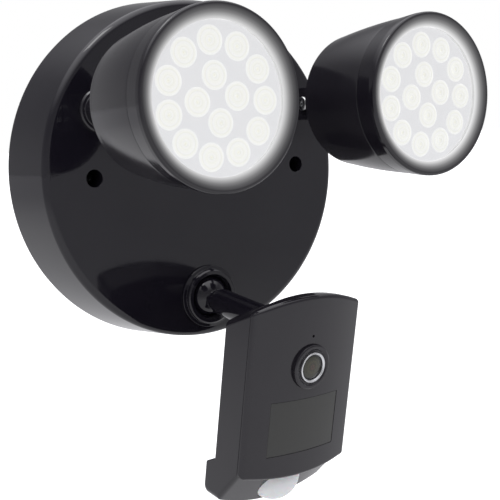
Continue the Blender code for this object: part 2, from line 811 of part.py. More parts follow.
def camera_head(head):
    """The head's shells, window, lens, boards, sensor and speaker."""
    inner_half = HEAD_HALF - HEAD_WALL
    rear = lofted("camera_rear_housing", rear_section, stations(HEAD_HALF, 12))
    cut(rear, lofted("hollow", rear_hollow, stations(inner_half, 10)))
    cut(rear, cylinder("arm_hole", SPIGOT_R + GAP, -5.0, 5.0, ROUND_SMALL))
    cut(rear, pir_tool("dome_hole", PIR_R + GAP))
    for k in range(4):
        v = -44.0 - 4.2 * k
        cut(rear, block("speaker_slot", (-9.0, 9.0), (-3.0, 5.0), (v - 0.9, v + 0.9)))
    for x, v in head_screw_places():
        add(rear, cylinder("boss", 3.4, 1.0, SEAM - 0.5, ROUND_TINY, (x, v)))
        cut(rear, cylinder("well", 2.7, -5.0, 6.0, ROUND_TINY, (x, v)))
        cut(rear, cylinder("clear", 1.6, 4.0, SEAM + 2.0, ROUND_TINY, (x, v)))
    finish(rear, satin_black(), head)

    cover = lofted("camera_front_cover", cover_section, stations(HEAD_HALF, 12))
    cut(cover, lofted("hollow", cover_hollow, stations(inner_half, 10)))
    cut(cover, cylinder("lens_hole", LENS_BEZEL_R + GAP, 10.0, 40.0, ROUND_MID, (0.0, LENS_V)))
    cut(cover, cylinder("mic_hole", 0.7, 10.0, 40.0, ROUND_TINY, (0.0, MIC_V)))
    cut(cover, block("window_hole", (-IR_HALF, IR_HALF), (10.0, 40.0), (IR_LOW, IR_TOP)))
    finish(cover, gloss_black(), head)

    window = lofted("ir_window", window_section, stations(IR_HALF - GAP, 6))
    finish(window, smoked_plastic(), head)
    lens_pieces(head)
    board_pieces(head)
    pir_pieces(head)
    for number, (x, v) in enumerate(head_screw_places(), 1):
        profile = [(0.0, 2.0), (2.2, 2.0), (2.2, 5.7), (1.2, 5.7), (1.2, SEAM + 0.6), (0.0, SEAM + 1.2)]
        finish(turned(f"camera_screw_{number}", profile, ROUND_TINY, (x, v)), steel(), head)


def head_screw_places():
    return [(-27.0, 4.0), (27.0, -59.0)]


def window_section(x):
    front = face_depth(x) - 0.1
    back = front - 1.9
    return [(front, IR_TOP - GAP), (front, IR_LOW + GAP), (back, IR_LOW + GAP), (back, IR_TOP - GAP)]


def lens_pieces(head):
    """The raised ring on the face, its bright trim ring, the glass, and the barrel behind it."""
    centre = (0.0, LENS_V)
    face = FACE_EDGE + FACE_BULGE
    bezel = [
        (7.9, face - 2.6),
        (LENS_BEZEL_R, face - 2.6),
        (LENS_BEZEL_R, face + 1.0),
        (LENS_BEZEL_R - 0.8, face + 1.7),
        (8.4, face + 1.7),
        (7.9, face + 1.2),
    ]
    finish(turned("lens_bezel", bezel, ROUND_MID, centre), gloss_black(), head)
    trim = [(6.6, face - 1.0), (7.6, face - 1.0), (7.6, face + 2.0)]
    trim += [(7.3, face + 2.3), (6.9, face + 2.3), (6.6, face + 1.9)]
    finish(turned("lens_trim_ring", trim, ROUND_MID, centre), aluminium(), head)
    glass = [(0.0, face - 0.2), (6.3, face - 0.2), (6.3, face + 0.5)]
    glass += [(4.4, face + 1.1), (2.2, face + 1.4), (0.0, face + 1.5)]
    finish(turned("lens_glass", glass, ROUND_SMALL, centre), lens_glass_look(), head)
    barrel = [(0.0, 11.6), (7.2, 11.6), (7.2, 17.0), (5.6, 18.0), (5.6, face - 0.6), (0.0, face - 0.6)]
    finish(turned("lens_barrel", barrel, ROUND_SMALL, centre), dark_plastic(), head)


def board_pieces(head):
    board = block("camera_board", (-25.0, 25.0), (9.7, 11.3), (-57.0, 8.0))
    cut(board, cylinder("clear", 4.2, 5.0, 15.0, ROUND_TINY, (-27.0, 4.0)))
    cut(board, cylinder("clear", 4.2, 5.0, 15.0, ROUND_TINY, (27.0, -59.0)))
    add(board, block("chip", (-8.0, 8.0), (10.5, 12.6), (-46.0, -30.0)))
    finish(board, circuit_board(), head)
    leds = block("ir_led_board", (-19.0, 19.0), (16.2, 17.6), (-56.0, -31.5))
    for k in range(3):
        for v in (-50.0, -37.5):
            add(leds, cylinder("led", 2.5, 17.0, 20.6, ROUND_TINY, (-12.5 + 12.5 * k, v)))
    finish(leds, circuit_board(), head)
    speaker = [(0.0, 3.0), (10.5, 3.0), (11.0, 4.0), (11.0, 6.0), (7.0, 8.2), (0.0, 8.2)]
    finish(turned("speaker", speaker, ROUND_SMALL, (0.0, -50.0)), component_plastic(), head)


def pir_tool(name, radius):
    """A ball at the motion sensor's centre, as a cutter for its hole."""
    profile = arc(0.0, PIR_DEPTH, radius, -90.0, 90.0, 10)
    profile[0] = (0.0, profile[0][1])
    profile[-1] = (0.0, profile[-1][1])
    return turned(name, profile, ROUND_MID, (0.0, PIR_V))


def pir_pieces(head):
    """The white dome on the lower chamfer, and the sensor can and its board behind it."""
    outside = arc(0.0, PIR_DEPTH, PIR_R, 24.0, 90.0, 4)
    inside = arc(0.0, PIR_DEPTH, PIR_R - 1.4, 90.0, 24.0, 3)
    outside[-1] = (0.0, outside[-1][1])
    inside[0] = (0.0, inside[0][1])
    dome = turned("pir_dome", inside + outside, ROUND_MID, (0.0, PIR_V))
    turn_about_x(dome, PIR_TILT, PIR_DEPTH, PIR_V)
    finish(dome, white_plastic(), head)
    sensor = [(0.0, -2.6), (8.6, -2.6), (8.6, -1.0), (4.2, -1.0), (4.2, 3.0), (0.0, 3.0)]
    can = turned("pir_sensor", [(r, d + PIR_DEPTH) for r, d in sensor], ROUND_SMALL, (0.0, PIR_V))
    turn_about_x(can, PIR_TILT, PIR_DEPTH, PIR_V)
    finish(can, aluminium(), head)


# ---------------------------------------------------------------- assembly

def build():
    clear_scene()
    base_housing()
    wall_bracket()
    base_small_pieces()
    driver_pieces()
    socket_pieces()
    lamp(-1, "left")
    lamp(1, "right")
    ball_place = (0.0, -BALL_DEPTH, BALL_Z)
    pan = axis_empty("camera_pan_axis", ball_place)
    pose = [math.radians(a) for a in (REST_PITCH, REST_ROLL, REST_YAW)]
    arm = axis_empty("camera_arm_axis", ball_place, pose, "YXZ")
    head = axis_empty("camera_head_axis", (0.0, -ARM_LENGTH, 0.0), parent=arm)
    camera_arm_pieces(pan, arm)
    camera_head(head)


build()
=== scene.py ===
# %% [markdown]
# # A floodlight security camera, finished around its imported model
# The real object hangs on an outside wall: a round base, two LED lamps on hinged brackets, and a
# camera head on a ball joint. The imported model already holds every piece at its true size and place.
# This lesson gives each visible piece a smooth surface and a finish, and leaves the mechanism alone.

import json
import math

import bmesh
import bpy
import numpy as np
from mathutils import Matrix, Vector


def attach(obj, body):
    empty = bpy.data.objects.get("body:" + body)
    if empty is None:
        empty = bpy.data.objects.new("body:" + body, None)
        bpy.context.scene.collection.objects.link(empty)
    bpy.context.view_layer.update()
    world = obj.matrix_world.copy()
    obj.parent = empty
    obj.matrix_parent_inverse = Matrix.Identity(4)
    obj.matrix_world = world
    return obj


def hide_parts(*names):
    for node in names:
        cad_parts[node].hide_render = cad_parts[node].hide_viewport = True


MM = 0.001
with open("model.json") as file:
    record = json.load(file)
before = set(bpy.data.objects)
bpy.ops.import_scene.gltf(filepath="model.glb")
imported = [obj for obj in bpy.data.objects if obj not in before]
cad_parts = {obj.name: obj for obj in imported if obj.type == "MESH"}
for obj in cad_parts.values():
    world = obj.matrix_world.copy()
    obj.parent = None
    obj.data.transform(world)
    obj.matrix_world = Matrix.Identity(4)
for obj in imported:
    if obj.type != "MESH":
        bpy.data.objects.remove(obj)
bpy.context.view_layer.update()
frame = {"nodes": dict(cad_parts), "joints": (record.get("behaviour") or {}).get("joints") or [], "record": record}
record = frame["record"]
nodes = frame["nodes"]
slot_of = {row["node"]: row["material_slot"] for row in record["subparts"]}
body_of = {name: body for body, names in record["behaviour"]["bodies"].items() for name in names}
joints = {joint["name"]: joint for joint in frame["joints"]}

# %% [markdown]
# ## The camera comes first
# The view decides how fine each surface has to be. It stands a little to the left of the object and
# just above its middle, and it is rolled by a few degrees, as a hand-held view often is. A camera looks
# down its own -Z, so its three axes are worked out as vectors and put into one matrix.

# %% Place the camera
VIEW_AZIMUTH, VIEW_ELEVATION, VIEW_ROLL = -34.4, 7.57, 2.51
VIEW_PLACE = Vector((-0.2610, -0.4650, 0.0212))
VIEW_LENS = 65.19


def view_axes(azimuth, elevation, roll):
    """Camera axes as matrix columns: back points from the target to the camera, right lies level, and
    both right and up are then turned about back by the roll."""
    a, e, r = (math.radians(t) for t in (azimuth, elevation, roll))
    right = Vector((math.cos(a), math.sin(a), 0.0))
    back = Vector((math.sin(a) * math.cos(e), -math.cos(a) * math.cos(e), math.sin(e)))
    up = back.cross(right)
    turned_right = right * math.cos(r) - up * math.sin(r)
    turned_up = right * math.sin(r) + up * math.cos(r)
    return Matrix((turned_right, turned_up, back)).transposed()


view = bpy.data.objects.new("studio_camera", bpy.data.cameras.new("studio_camera"))
bpy.context.scene.collection.objects.link(view)
view.data.lens = VIEW_LENS
view.data.clip_start = 0.01
view_turn = view_axes(VIEW_AZIMUTH, VIEW_ELEVATION, VIEW_ROLL).to_4x4()
view.matrix_world = Matrix.Translation(VIEW_PLACE) @ view_turn
bpy.context.scene.camera = view
print("camera at", tuple(round(c, 3) for c in VIEW_PLACE))

# %% [markdown]
# ## Surfaces from two parameters
# Nearly every piece here is turned on a lathe or carried along a line, so it is a grid of points: one
# parameter runs along the profile and the other goes round. numpy works the grid out at once. Sharp
# corners catch no light, so a profile first gets its small moulding radii from rounded().

# %% Profiles with rounded corners
def rounded(corners, closed=False, steps=5):
    """Corners (a, b, radius) joined by straight lines, each corner replaced by an arc. The arc's centre
    lies on the corner's bisector at radius / sin(half angle), and its points are the slerp between the
    two tangent points. A radius of 0 keeps the corner."""
    given = np.array(corners, float)
    points = []
    count = len(given)
    for i, (a, b, radius) in enumerate(given):
        here = np.array((a, b))
        if radius <= 0.0 or (not closed and i in (0, count - 1)):
            points.append(here)
            continue
        to_last = given[i - 1, :2] - here
        to_next = given[(i + 1) % count, :2] - here
        reach = min(np.linalg.norm(to_last), np.linalg.norm(to_next))
        to_last = to_last / np.linalg.norm(to_last)
        to_next = to_next / np.linalg.norm(to_next)
        between = math.acos(float(np.clip(to_last @ to_next, -1.0, 1.0)))
        if between > math.pi - 0.01:
            points.append(here)
            continue
        tangent = min(radius / math.tan(between / 2.0), 0.49 * reach)
        radius = tangent * math.tan(between / 2.0)
        bisector = to_last + to_next
        centre = here + bisector / np.linalg.norm(bisector) * radius / math.sin(between / 2.0)
        start = here + to_last * tangent - centre
        end = here + to_next * tangent - centre
        sweep = math.pi - between
        t = np.linspace(0.0, 1.0, steps + 1)[:, None]
        swung = start * np.sin((1.0 - t) * sweep) + end * np.sin(t * sweep)
        points.extend(centre + swung / math.sin(sweep))
    return np.array(points)


def arc(centre, radius, start, end, steps):
    """Points on a circle in the profile plane, from angle start to angle end in degrees."""
    turn = np.radians(np.linspace(start, end, steps + 1))
    return np.stack([centre[0] + radius * np.cos(turn), centre[1] + radius * np.sin(turn)], 1)


# %% Meshes from grids
def grid_faces(rows, columns, close_rows, close_columns):
    """Quads between neighbouring rows and columns of a grid whose points are numbered row by row."""
    i = np.arange(rows if close_rows else rows - 1)[:, None]
    k = np.arange(columns if close_columns else columns - 1)[None, :]
    below, beside = (i + 1) % rows * columns, (k + 1) % columns
    corners = (i * columns + k, i * columns + beside, below + beside, below + k)
    return np.stack(np.broadcast_arrays(*corners), -1).reshape(-1, 4).tolist()


def mesh_object(name, points, faces, values=None):
    """An object from points (x, depth, v) in millimetres, where depth runs forward, along -Y. Values, if
    given, become the mesh's reach number, one for each point."""
    points = np.asarray(points, float)
    mesh = bpy.data.meshes.new(name)
    mesh.from_pydata((points * (MM, -MM, MM)).tolist(), [], faces)
    if values is not None:
        reach = mesh.attributes.new("reach", "FLOAT", "POINT")
        reach.data.foreach_set("value", np.asarray(values, np.float32))
    work = bmesh.new()
    work.from_mesh(mesh)
    bmesh.ops.remove_doubles(work, verts=work.verts, dist=1e-7)
    bmesh.ops.recalc_face_normals(work, faces=work.faces)
    work.to_mesh(mesh)
    work.free()
    made = bpy.data.objects.new(name, mesh)
    bpy.context.scene.collection.objects.link(made)
    return made


def turned(name, profile, sides=64, centre=(0.0, 0.0), values=None):
    """A profile of (radius, depth) points turned about the forward axis through centre. Each point
    becomes a ring: x = radius cos(turn), v = radius sin(turn). If both ends lie on the axis the shape
    is a solid, with flat caps where an end is level with its neighbour, and otherwise it is a ring."""
    profile = np.asarray(profile, float)
    solid = profile[0, 0] < 1e-6 and profile[-1, 0] < 1e-6
    keep = np.ones(len(profile), bool)
    if solid:
        keep[0] = abs(profile[0, 1] - profile[1, 1]) > 1e-6
        keep[-1] = abs(profile[-1, 1] - profile[-2, 1]) > 1e-6
    rows = profile[keep]
    turn = 2.0 * np.pi * (np.arange(sides) + 0.5) / sides
    x = centre[0] + rows[:, :1] * np.cos(turn)
    v = centre[1] + rows[:, :1] * np.sin(turn)
    depth = np.broadcast_to(rows[:, 1:], x.shape)
    faces = grid_faces(len(rows), sides, not solid, True)
    if solid and not keep[0]:
        faces.append(list(range(sides)))
    if solid and not keep[-1]:
        faces.append(list(range((len(rows) - 1) * sides, len(rows) * sides)))
    if values is not None:
        values = np.repeat(np.asarray(values, float)[keep], sides)
    return mesh_object(name, np.stack([x, depth, v], -1).reshape(-1, 3), faces, values)


def lofted(name, section, stations):
    """Sections of (depth, v) points, one for each x in stations, skinned into a closed body whose two
    end sections are flat faces."""
    loops = [section(x) for x in stations]
    count = len(loops[0])
    placed = [np.column_stack([np.full(count, x), loop]) for x, loop in zip(stations, loops)]
    points = np.concatenate(placed)
    faces = grid_faces(len(loops), count, False, True)
    faces.append(list(range(count)))
    faces.append(list(range(len(points) - count, len(points))))
    return mesh_object(name, points, faces)


def sheet(name, outline, back, front):
    """An outline of (x, v) points as a flat sheet between two depths."""
    outline = np.asarray(outline, float)
    count = len(outline)
    layers = [np.column_stack([outline[:, 0], np.full(count, d), outline[:, 1]]) for d in (back, front)]
    faces = grid_faces(2, count, False, True)
    faces += [list(range(count)), list(range(count, 2 * count))]
    return mesh_object(name, np.concatenate(layers), faces)


def cylinder(name, radius, back, front, sides=32, centre=(0.0, 0.0)):
    """A plain rod between two depths, as a piece or as a cutter."""
    return turned(name, [(0.0, back), (radius, back), (radius, front), (0.0, front)], sides, centre)


# %% [markdown]
# ## Cutting, joining and softening
# Screw wells, bores and slots are cut with closed tools, the way a cutter works on a moulding. Each
# step is applied at once, so that the finished mesh alone is left. soften() rounds what the cutters
# left sharp, and the weighted normals keep large flat faces flat in reflections.

# %% Steps that finish a mesh
def bake_steps(thing):
    """Replaces the mesh by what its modifiers make of it."""
    graph = bpy.context.evaluated_depsgraph_get()
    result = bpy.data.meshes.new_from_object(thing.evaluated_get(graph))
    thing.modifiers.clear()
    old, thing.data = thing.data, result
    bpy.data.meshes.remove(old)
    return thing


def combine(target, tool, operation):
    """Applies a Boolean step with the tool, and removes the tool."""
    step = target.modifiers.new("step", "BOOLEAN")
    step.operation = operation
    step.object = tool
    bake_steps(target)
    bpy.data.objects.remove(tool, do_unlink=True)
    return target


def cut(target, tool):
    return combine(target, tool, "DIFFERENCE")


def add(target, tool):
    return combine(target, tool, "UNION")


def soften(thing, width, segments=2, angle=40.0):
    """Rounds every edge sharper than the angle, by a width in millimetres."""
    step = thing.modifiers.new("soft_edges", "BEVEL")
    step.width = width * MM
    step.segments = segments
    step.limit_method = "ANGLE"
    step.angle_limit = math.radians(angle)
    step.use_clamp_overlap = True
    return bake_steps(thing)


def weigh_normals(thing, angle=32.0):
    """Smooth shading with sharp edges kept where the faces meet at more than the angle."""
    thing.data.shade_smooth()
    thing.data.set_sharp_from_angle(angle=math.radians(angle))
    step = thing.modifiers.new("flat_faces", "WEIGHTED_NORMAL")
    step.keep_sharp = True
    step.weight = 60
    return thing


made_pieces = []


def stand_for(thing, node, look, place=Matrix.Identity(4)):
    """Puts a finished mesh in place, gives it its look, and lets it stand for one node of the model."""
    thing.data.transform(place)
    thing.name = node + "_fine"
    thing.data.name = thing.name
    thing.data.materials.clear()
    thing.data.materials.append(look)
    weigh_normals(thing)
    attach(thing, body_of[node])
    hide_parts(node)
    made_pieces.append(thing)
    return thing


# %% [markdown]
# ## What moulded plastic looks like close up
# A moulded housing is never one even colour. It has a grain from the steel mould, cloudy patches where
# the gloss is a little lower, and faint handling marks. All the plastics share these, so they are one
# node group with its own scales and strengths. It gives out a height for the bump, a cloud mask for the
# gloss and the colour, and a scuff mask of fine broken lines.

# %% Node helpers
def node_group(name, inputs, outputs):
    """An empty shader node group with float inputs {name: value} and float outputs."""
    group = bpy.data.node_groups.new(name, "ShaderNodeTree")
    group.interface.new_socket("Vector", in_out="INPUT", socket_type="NodeSocketVector")
    for socket, value in inputs.items():
        made = group.interface.new_socket(socket, in_out="INPUT", socket_type="NodeSocketFloat")
        made.default_value = value
    for socket in outputs:
        group.interface.new_socket(socket, in_out="OUTPUT", socket_type="NodeSocketFloat")
    return group, group.nodes.new("NodeGroupInput"), group.nodes.new("NodeGroupOutput")


def put(tree, kind, links=(), **settings):
    """Adds a node. Settings name its properties, and links are (input, socket or value) pairs."""
    made = tree.nodes.new(kind)
    for key, value in settings.items():
        setattr(made, key, value)
    for socket, source in links:
        if isinstance(source, bpy.types.NodeSocket):
            tree.links.new(source, made.inputs[socket])
        else:
            made.inputs[socket].default_value = source
    return made


def math_node(tree, operation, a, b=None):
    """One step of arithmetic on sockets or numbers."""
    links = [(0, a)] if b is None else [(0, a), (1, b)]
    return put(tree, "ShaderNodeMath", links, operation=operation).outputs[0]


def stretch(tree, value, low, high, to_low=0.0, to_high=1.0, kind="LINEAR"):
    """Maps value from low..high to to_low..to_high, with both ends held. Kind SMOOTHSTEP starts and
    ends softly."""
    names = ("Value", "From Min", "From Max", "To Min", "To Max")
    links = zip(names, (value, low, high, to_low, to_high))
    return put(tree, "ShaderNodeMapRange", links, interpolation_type=kind).outputs["Result"]


def noise(tree, place, scale, detail):
    """A noise texture's grey value."""
    links = [("Vector", place), ("Scale", scale), ("Detail", detail)]
    return put(tree, "ShaderNodeTexNoise", links).outputs["Fac"]


def blend(tree, factor, first, second):
    """A mix of two colours, each a socket or four numbers."""
    return put(tree, "ShaderNodeMix", [(0, factor), (6, first), (7, second)], data_type="RGBA").outputs[2]


def bumped(tree, shader, height, distance):
    """Drives the shader's normal with a height, whose full range stands for the distance in metres."""
    bump = put(tree, "ShaderNodeBump", [("Height", height), ("Distance", distance)])
    tree.links.new(bump.outputs[0], shader.inputs["Normal"])
    return bump


# %% The shared groups
mould, m_in, m_out = node_group(
    "moulded_skin",
    {"Grain Scale": 2600.0, "Cloud Scale": 40.0, "Scuff Scale": 90.0},
    ("Grain", "Cloud", "Scuff"),
)
grain = noise(mould, m_in.outputs[0], m_in.outputs[1], 3.0)
cloud = noise(mould, m_in.outputs[0], m_in.outputs[2], 4.0)
lines = noise(mould, m_in.outputs[0], m_in.outputs[3], 6.0)
band = math_node(mould, "ABSOLUTE", math_node(mould, "SUBTRACT", lines, 0.5))
mould.links.new(grain, m_out.inputs["Grain"])
mould.links.new(stretch(mould, cloud, 0.32, 0.68), m_out.inputs["Cloud"])
mould.links.new(stretch(mould, band, 0.012, 0.0), m_out.inputs["Scuff"])

metal, t_in, t_out = node_group(
    "worked_metal",
    {"Line Scale": 900.0, "Stain Scale": 60.0},
    ("Lines", "Stain"),
)
DRAWN_OUT = (1.0, 1.0, 0.06)
squeeze = [(0, t_in.outputs[0]), (1, DRAWN_OUT)]
squeezed = put(metal, "ShaderNodeVectorMath", squeeze, operation="MULTIPLY")
streaks = noise(metal, squeezed.outputs[0], t_in.outputs[1], 4.0)
stain = noise(metal, t_in.outputs[0], t_in.outputs[2], 5.0)
metal.links.new(streaks, t_out.inputs["Lines"])
metal.links.new(stretch(metal, stain, 0.3, 0.7), t_out.inputs["Stain"])
print("groups:", [group.name for group in bpy.data.node_groups])


# %% [markdown]
# ## Looks built from the groups
# Each look is a Principled shader. The group's masks change its colour and its roughness, and the grain
# drives a very small bump. Numbers that are the same all over the piece are set on the shader itself.

# %% Plastic, rubber and board looks
def start_look(name):
    """A new material with its tree, its shader and a socket with the place on the object."""
    look = bpy.data.materials.new(name)
    look.use_nodes = True
    tree = look.node_tree
    place = put(tree, "ShaderNodeTexCoord").outputs["Object"]
    return look, tree, tree.nodes["Principled BSDF"], place


def solid(colour):
    """A colour with full cover."""
    return (*colour, 1.0)


def plastic(name, colour, clouded, gloss, grain_depth, grain_scale=2600.0, scuffs=0.3, **plain):
    """Moulded plastic: clouded is the colour of its duller patches, gloss the (lowest, highest)
    roughness, and plain the shader's own even values."""
    look, tree, shader, place = start_look(name)
    skin = put(tree, "ShaderNodeGroup", node_tree=mould)
    tree.links.new(place, skin.inputs["Vector"])
    skin.inputs["Grain Scale"].default_value = grain_scale
    tone = blend(tree, skin.outputs["Cloud"], solid(colour), solid(clouded))
    tree.links.new(tone, shader.inputs["Base Color"])
    rough = stretch(tree, skin.outputs["Cloud"], 0.0, 1.0, *gloss)
    marks = math_node(tree, "MULTIPLY", skin.outputs["Scuff"], scuffs * 0.2)
    tree.links.new(math_node(tree, "ADD", rough, marks), shader.inputs["Roughness"])
    bump = bumped(tree, shader, skin.outputs["Grain"], grain_depth * MM)
    bump.inputs["Strength"].default_value = 1.0
    for socket, value in plain.items():
        shader.inputs[socket.replace("_", " ")].default_value = value
    return look


def worked_metal(name, colour, stained, gloss, line_scale=900.0):
    """Bare metal with fine drawn lines in its gloss and duller stains."""
    look, tree, shader, place = start_look(name)
    group = put(tree, "ShaderNodeGroup", node_tree=metal)
    tree.links.new(place, group.inputs["Vector"])
    group.inputs["Line Scale"].default_value = line_scale
    tone = blend(tree, group.outputs["Stain"], solid(colour), solid(stained))
    tree.links.new(tone, shader.inputs["Base Color"])
    tree.links.new(stretch(tree, group.outputs["Lines"], 0.3, 0.7, *gloss), shader.inputs["Roughness"])
    bumped(tree, shader, group.outputs["Lines"], 0.004 * MM)
    shader.inputs["Metallic"].default_value = 1.0
    return look


gloss_black = plastic(
    "gloss_black_plastic", (0.0075, 0.0066, 0.0105), (0.0095, 0.0085, 0.0125), (0.045, 0.085), 0.0006, 700.0
)
satin_black = plastic(
    "satin_black_plastic", (0.0110, 0.0100, 0.0135), (0.0135, 0.0123, 0.0160), (0.12, 0.17), 0.0004, 700.0
)
head_black = plastic(
    "head_black_plastic", (0.0125, 0.0112, 0.0150), (0.0145, 0.0130, 0.0170), (0.10, 0.15), 0.0005, 900.0
)
dark_plastic = plastic(
    "dark_plastic", (0.018, 0.018, 0.019), (0.024, 0.024, 0.026), (0.42, 0.55), 0.008, 1500.0
)
white_plastic = plastic("white_plastic", (0.80, 0.80, 0.79), (0.74, 0.74, 0.73), (0.3, 0.4), 0.002)
component_plastic = plastic(
    "component_plastic", (0.03, 0.03, 0.045), (0.05, 0.05, 0.065), (0.4, 0.55), 0.006
)
smoked = plastic(
    "smoked_plastic", (0.026, 0.0265, 0.0245), (0.029, 0.0295, 0.0275), (0.34, 0.42), 0.003, 3000.0
)
rubber = plastic("foam_rubber", (0.016, 0.016, 0.017), (0.03, 0.03, 0.03), (0.75, 0.9), 0.03, 900.0)
zinc = worked_metal("zinc_steel", (0.66, 0.67, 0.70), (0.52, 0.52, 0.50), (0.18, 0.36))
aluminium = worked_metal("bare_aluminium", (0.78, 0.79, 0.81), (0.66, 0.66, 0.67), (0.28, 0.46))
dome_white = plastic(
    "sensor_dome_plastic", (0.84, 0.84, 0.85), (0.80, 0.80, 0.82), (0.22, 0.3), 0.001,
    Subsurface_Weight=0.25, Subsurface_Scale=0.003,
)
print("looks so far:", len(bpy.data.materials))

# %% [markdown]
# ## Lit lenses and the glow around them
# The lamps are lit. Each LED sits under a round moulded lens that shows as a cream disc with faint
# rings, and the sheet between the lenses is a cooler white. The bezel's cone picks up a soft glow that
# fades towards the rim. Both patterns follow a number called reach, which the mesh carries: on a lens it
# is the share of the radius, and on the bezel the share of the way out to the rim.

# %% Looks that read the reach number
def ramp(tree, factor, stops):
    """A colour ramp from (position, colour) stops."""
    made = tree.nodes.new("ShaderNodeValToRGB")
    tree.links.new(factor, made.inputs["Fac"])
    bar = made.color_ramp
    while len(bar.elements) < len(stops):
        bar.elements.new(0.5)
    for element, (position, colour) in zip(bar.elements, stops):
        element.position = position
        element.color = solid(colour)
    return made.outputs["Color"]


def add_glow(look, stops, strength=1.0):
    """Lets a look give out light whose colour follows the mesh's reach number."""
    tree = look.node_tree
    shader = tree.nodes["Principled BSDF"]
    reach = put(tree, "ShaderNodeAttribute", attribute_name="reach").outputs["Fac"]
    tree.links.new(ramp(tree, reach, stops), shader.inputs["Emission Color"])
    shader.inputs["Emission Strength"].default_value = strength
    return look


CREAM, PALE, LAVENDER, RING, AMBER = (
    (1.0, 1.0, 0.93), (1.0, 1.0, 0.98), (0.85, 0.85, 0.865), (0.92, 0.92, 0.86), (0.92, 0.90, 0.76)
)
lens_lit = add_glow(
    plastic("lit_lens_plastic", (0.12, 0.12, 0.12), (0.14, 0.14, 0.14), (0.12, 0.2), 0.001),
    [
        (0.00, AMBER), (0.10, CREAM), (0.17, RING), (0.21, PALE), (0.33, CREAM), (0.36, RING),
        (0.40, CREAM), (0.66, PALE), (0.70, RING), (0.76, CREAM), (0.90, PALE), (0.97, PALE),
        (0.999, LAVENDER),
    ],
    0.86,
)
GLOW = ((0.0, 0.80), (0.12, 0.62), (0.25, 0.41), (0.42, 0.21), (0.60, 0.09), (0.80, 0.025), (1.0, 0.0))
# Painted glow: the lamp seals are rubber, and this even emission stands for the LEDs' light falling on them.
SEAL_GLOW = 0.56
lit_seal = add_glow(
    plastic("lit_seal_rubber", (0.40, 0.40, 0.39), (0.36, 0.36, 0.35), (0.4, 0.5), 0.004, 1200.0),
    [(at, (SEAL_GLOW, SEAL_GLOW, SEAL_GLOW)) for at in (0.0, 1.0)],
)
bezel_glow = {}
for word, strength in (("left", 0.85), ("right", 0.98)):
    base = plastic(f"lit_bezel_plastic_{word}", (0.0085, 0.0075, 0.0110), (0.0105, 0.0093, 0.0130),
                   (0.10, 0.15), 0.0004, 700.0)
    bezel_glow[word] = add_glow(base, [(at, (glow, glow, glow)) for at, glow in GLOW], strength)


def window_look():
    """Clear window: plain glass values, with a faint moulding flow in its roughness."""
    look, tree, shader, place = start_look("clear_window_plastic")
    skin = put(tree, "ShaderNodeGroup", node_tree=mould)
    tree.links.new(place, skin.inputs["Vector"])
    tree.links.new(stretch(tree, skin.outputs["Cloud"], 0.0, 1.0, 0.01, 0.03), shader.inputs["Roughness"])
    tone = blend(tree, skin.outputs["Cloud"], (0.99, 0.99, 0.99, 1.0), (0.97, 0.975, 0.98, 1.0))
    tree.links.new(tone, shader.inputs["Base Color"])
    shader.inputs["Transmission Weight"].default_value = 1.0
    shader.inputs["IOR"].default_value = 1.45
    return look


clear_window = window_look()


def lens_glass_look():
    """The camera's front lens: dark coated glass whose brown and olive rings are painted into its colour, as
    painted reflections of the elements deep inside.
    """
    look, tree, shader, place = start_look("coated_lens_glass")
    reach = put(tree, "ShaderNodeAttribute", attribute_name="reach").outputs["Fac"]
    # Painted reflections: these ringed colours stand for light reflected off the coated elements inside the lens.
    stops = [
        (0.0, (0.012, 0.008, 0.006)), (0.16, (0.055, 0.030, 0.018)), (0.24, (0.020, 0.015, 0.008)),
        (0.46, (0.036, 0.034, 0.015)), (0.62, (0.018, 0.017, 0.008)), (0.72, (0.028, 0.028, 0.013)),
        (0.90, (0.010, 0.010, 0.007)), (1.0, (0.004, 0.004, 0.004)),
    ]
    tree.links.new(ramp(tree, reach, stops), shader.inputs["Base Color"])
    skin = put(tree, "ShaderNodeGroup", node_tree=mould)
    tree.links.new(place, skin.inputs["Vector"])
    tree.links.new(stretch(tree, skin.outputs["Cloud"], 0.0, 1.0, 0.02, 0.05), shader.inputs["Roughness"])
    shader.inputs["Coat Weight"].default_value = 0.25
    return look


lens_glass = lens_glass_look()


def board_look():
    """Circuit board: green mask over a grid of copper tracks, with tinned pads."""
    look, tree, shader, place = start_look("circuit_board")
    tracks = put(
        tree, "ShaderNodeTexBrick",
        [("Vector", place), ("Scale", 220.0), ("Mortar Size", 0.04), ("Mortar", (0.02, 0.22, 0.09, 1.0)),
         ("Color1", (0.008, 0.09, 0.035, 1.0)), ("Color2", (0.010, 0.11, 0.04, 1.0))],
    )
    tree.links.new(tracks.outputs["Color"], shader.inputs["Base Color"])
    tree.links.new(stretch(tree, tracks.outputs["Fac"], 0.0, 1.0, 0.28, 0.45), shader.inputs["Roughness"])
    bumped(tree, shader, tracks.outputs["Fac"], 0.03 * MM)
    return look


circuit_board = board_look()
print("looks in all:", len(bpy.data.materials))

# %% [markdown]
# ## The base
# The base is a shallow drum moulded in gloss black. Its side leans in a little towards the front so that
# it leaves the mould, and its front edge has one soft radius that draws a thin line of light. It is
# turned from one profile, and then the screw wells and the sockets are cut. Each well's cutter flares at
# its mouth, which leaves a small rounded lip.

# %% Base shell
BASE_SIDES = 192
FACE_DEPTH, SHELL_BACK, FACE_INSIDE = 41.2, 2.3, 38.7
FACE_R, BACK_R, RIM_INNER_R, FACE_CORNER = 91.15, 95.0, 90.0, 3.8
MOUNT_X = 64.3
LAMP_X, LAMP_Z = (joints["right_lamp_swivel"]["pos_m"][axis] / MM for axis in (0, 2))
BALL = Vector(joints["camera_pan"]["pos_m"])
BALL_Z = BALL.z / MM


def flared(name, radius, back, front, lip, sides, centre):
    """A cutter for a hole with a rounded lip: its wall turns outward by the lip radius at the face."""
    mouth, wide, above = front + 0.04, radius + lip + 0.2, front + 4.0
    corners = [
        (0.0, back, 0), (radius, back, 0), (radius, mouth, lip), (wide, mouth, 0), (wide, above, 0),
        (0.0, above, 0)
    ]
    return turned(name, rounded(corners), sides, centre)


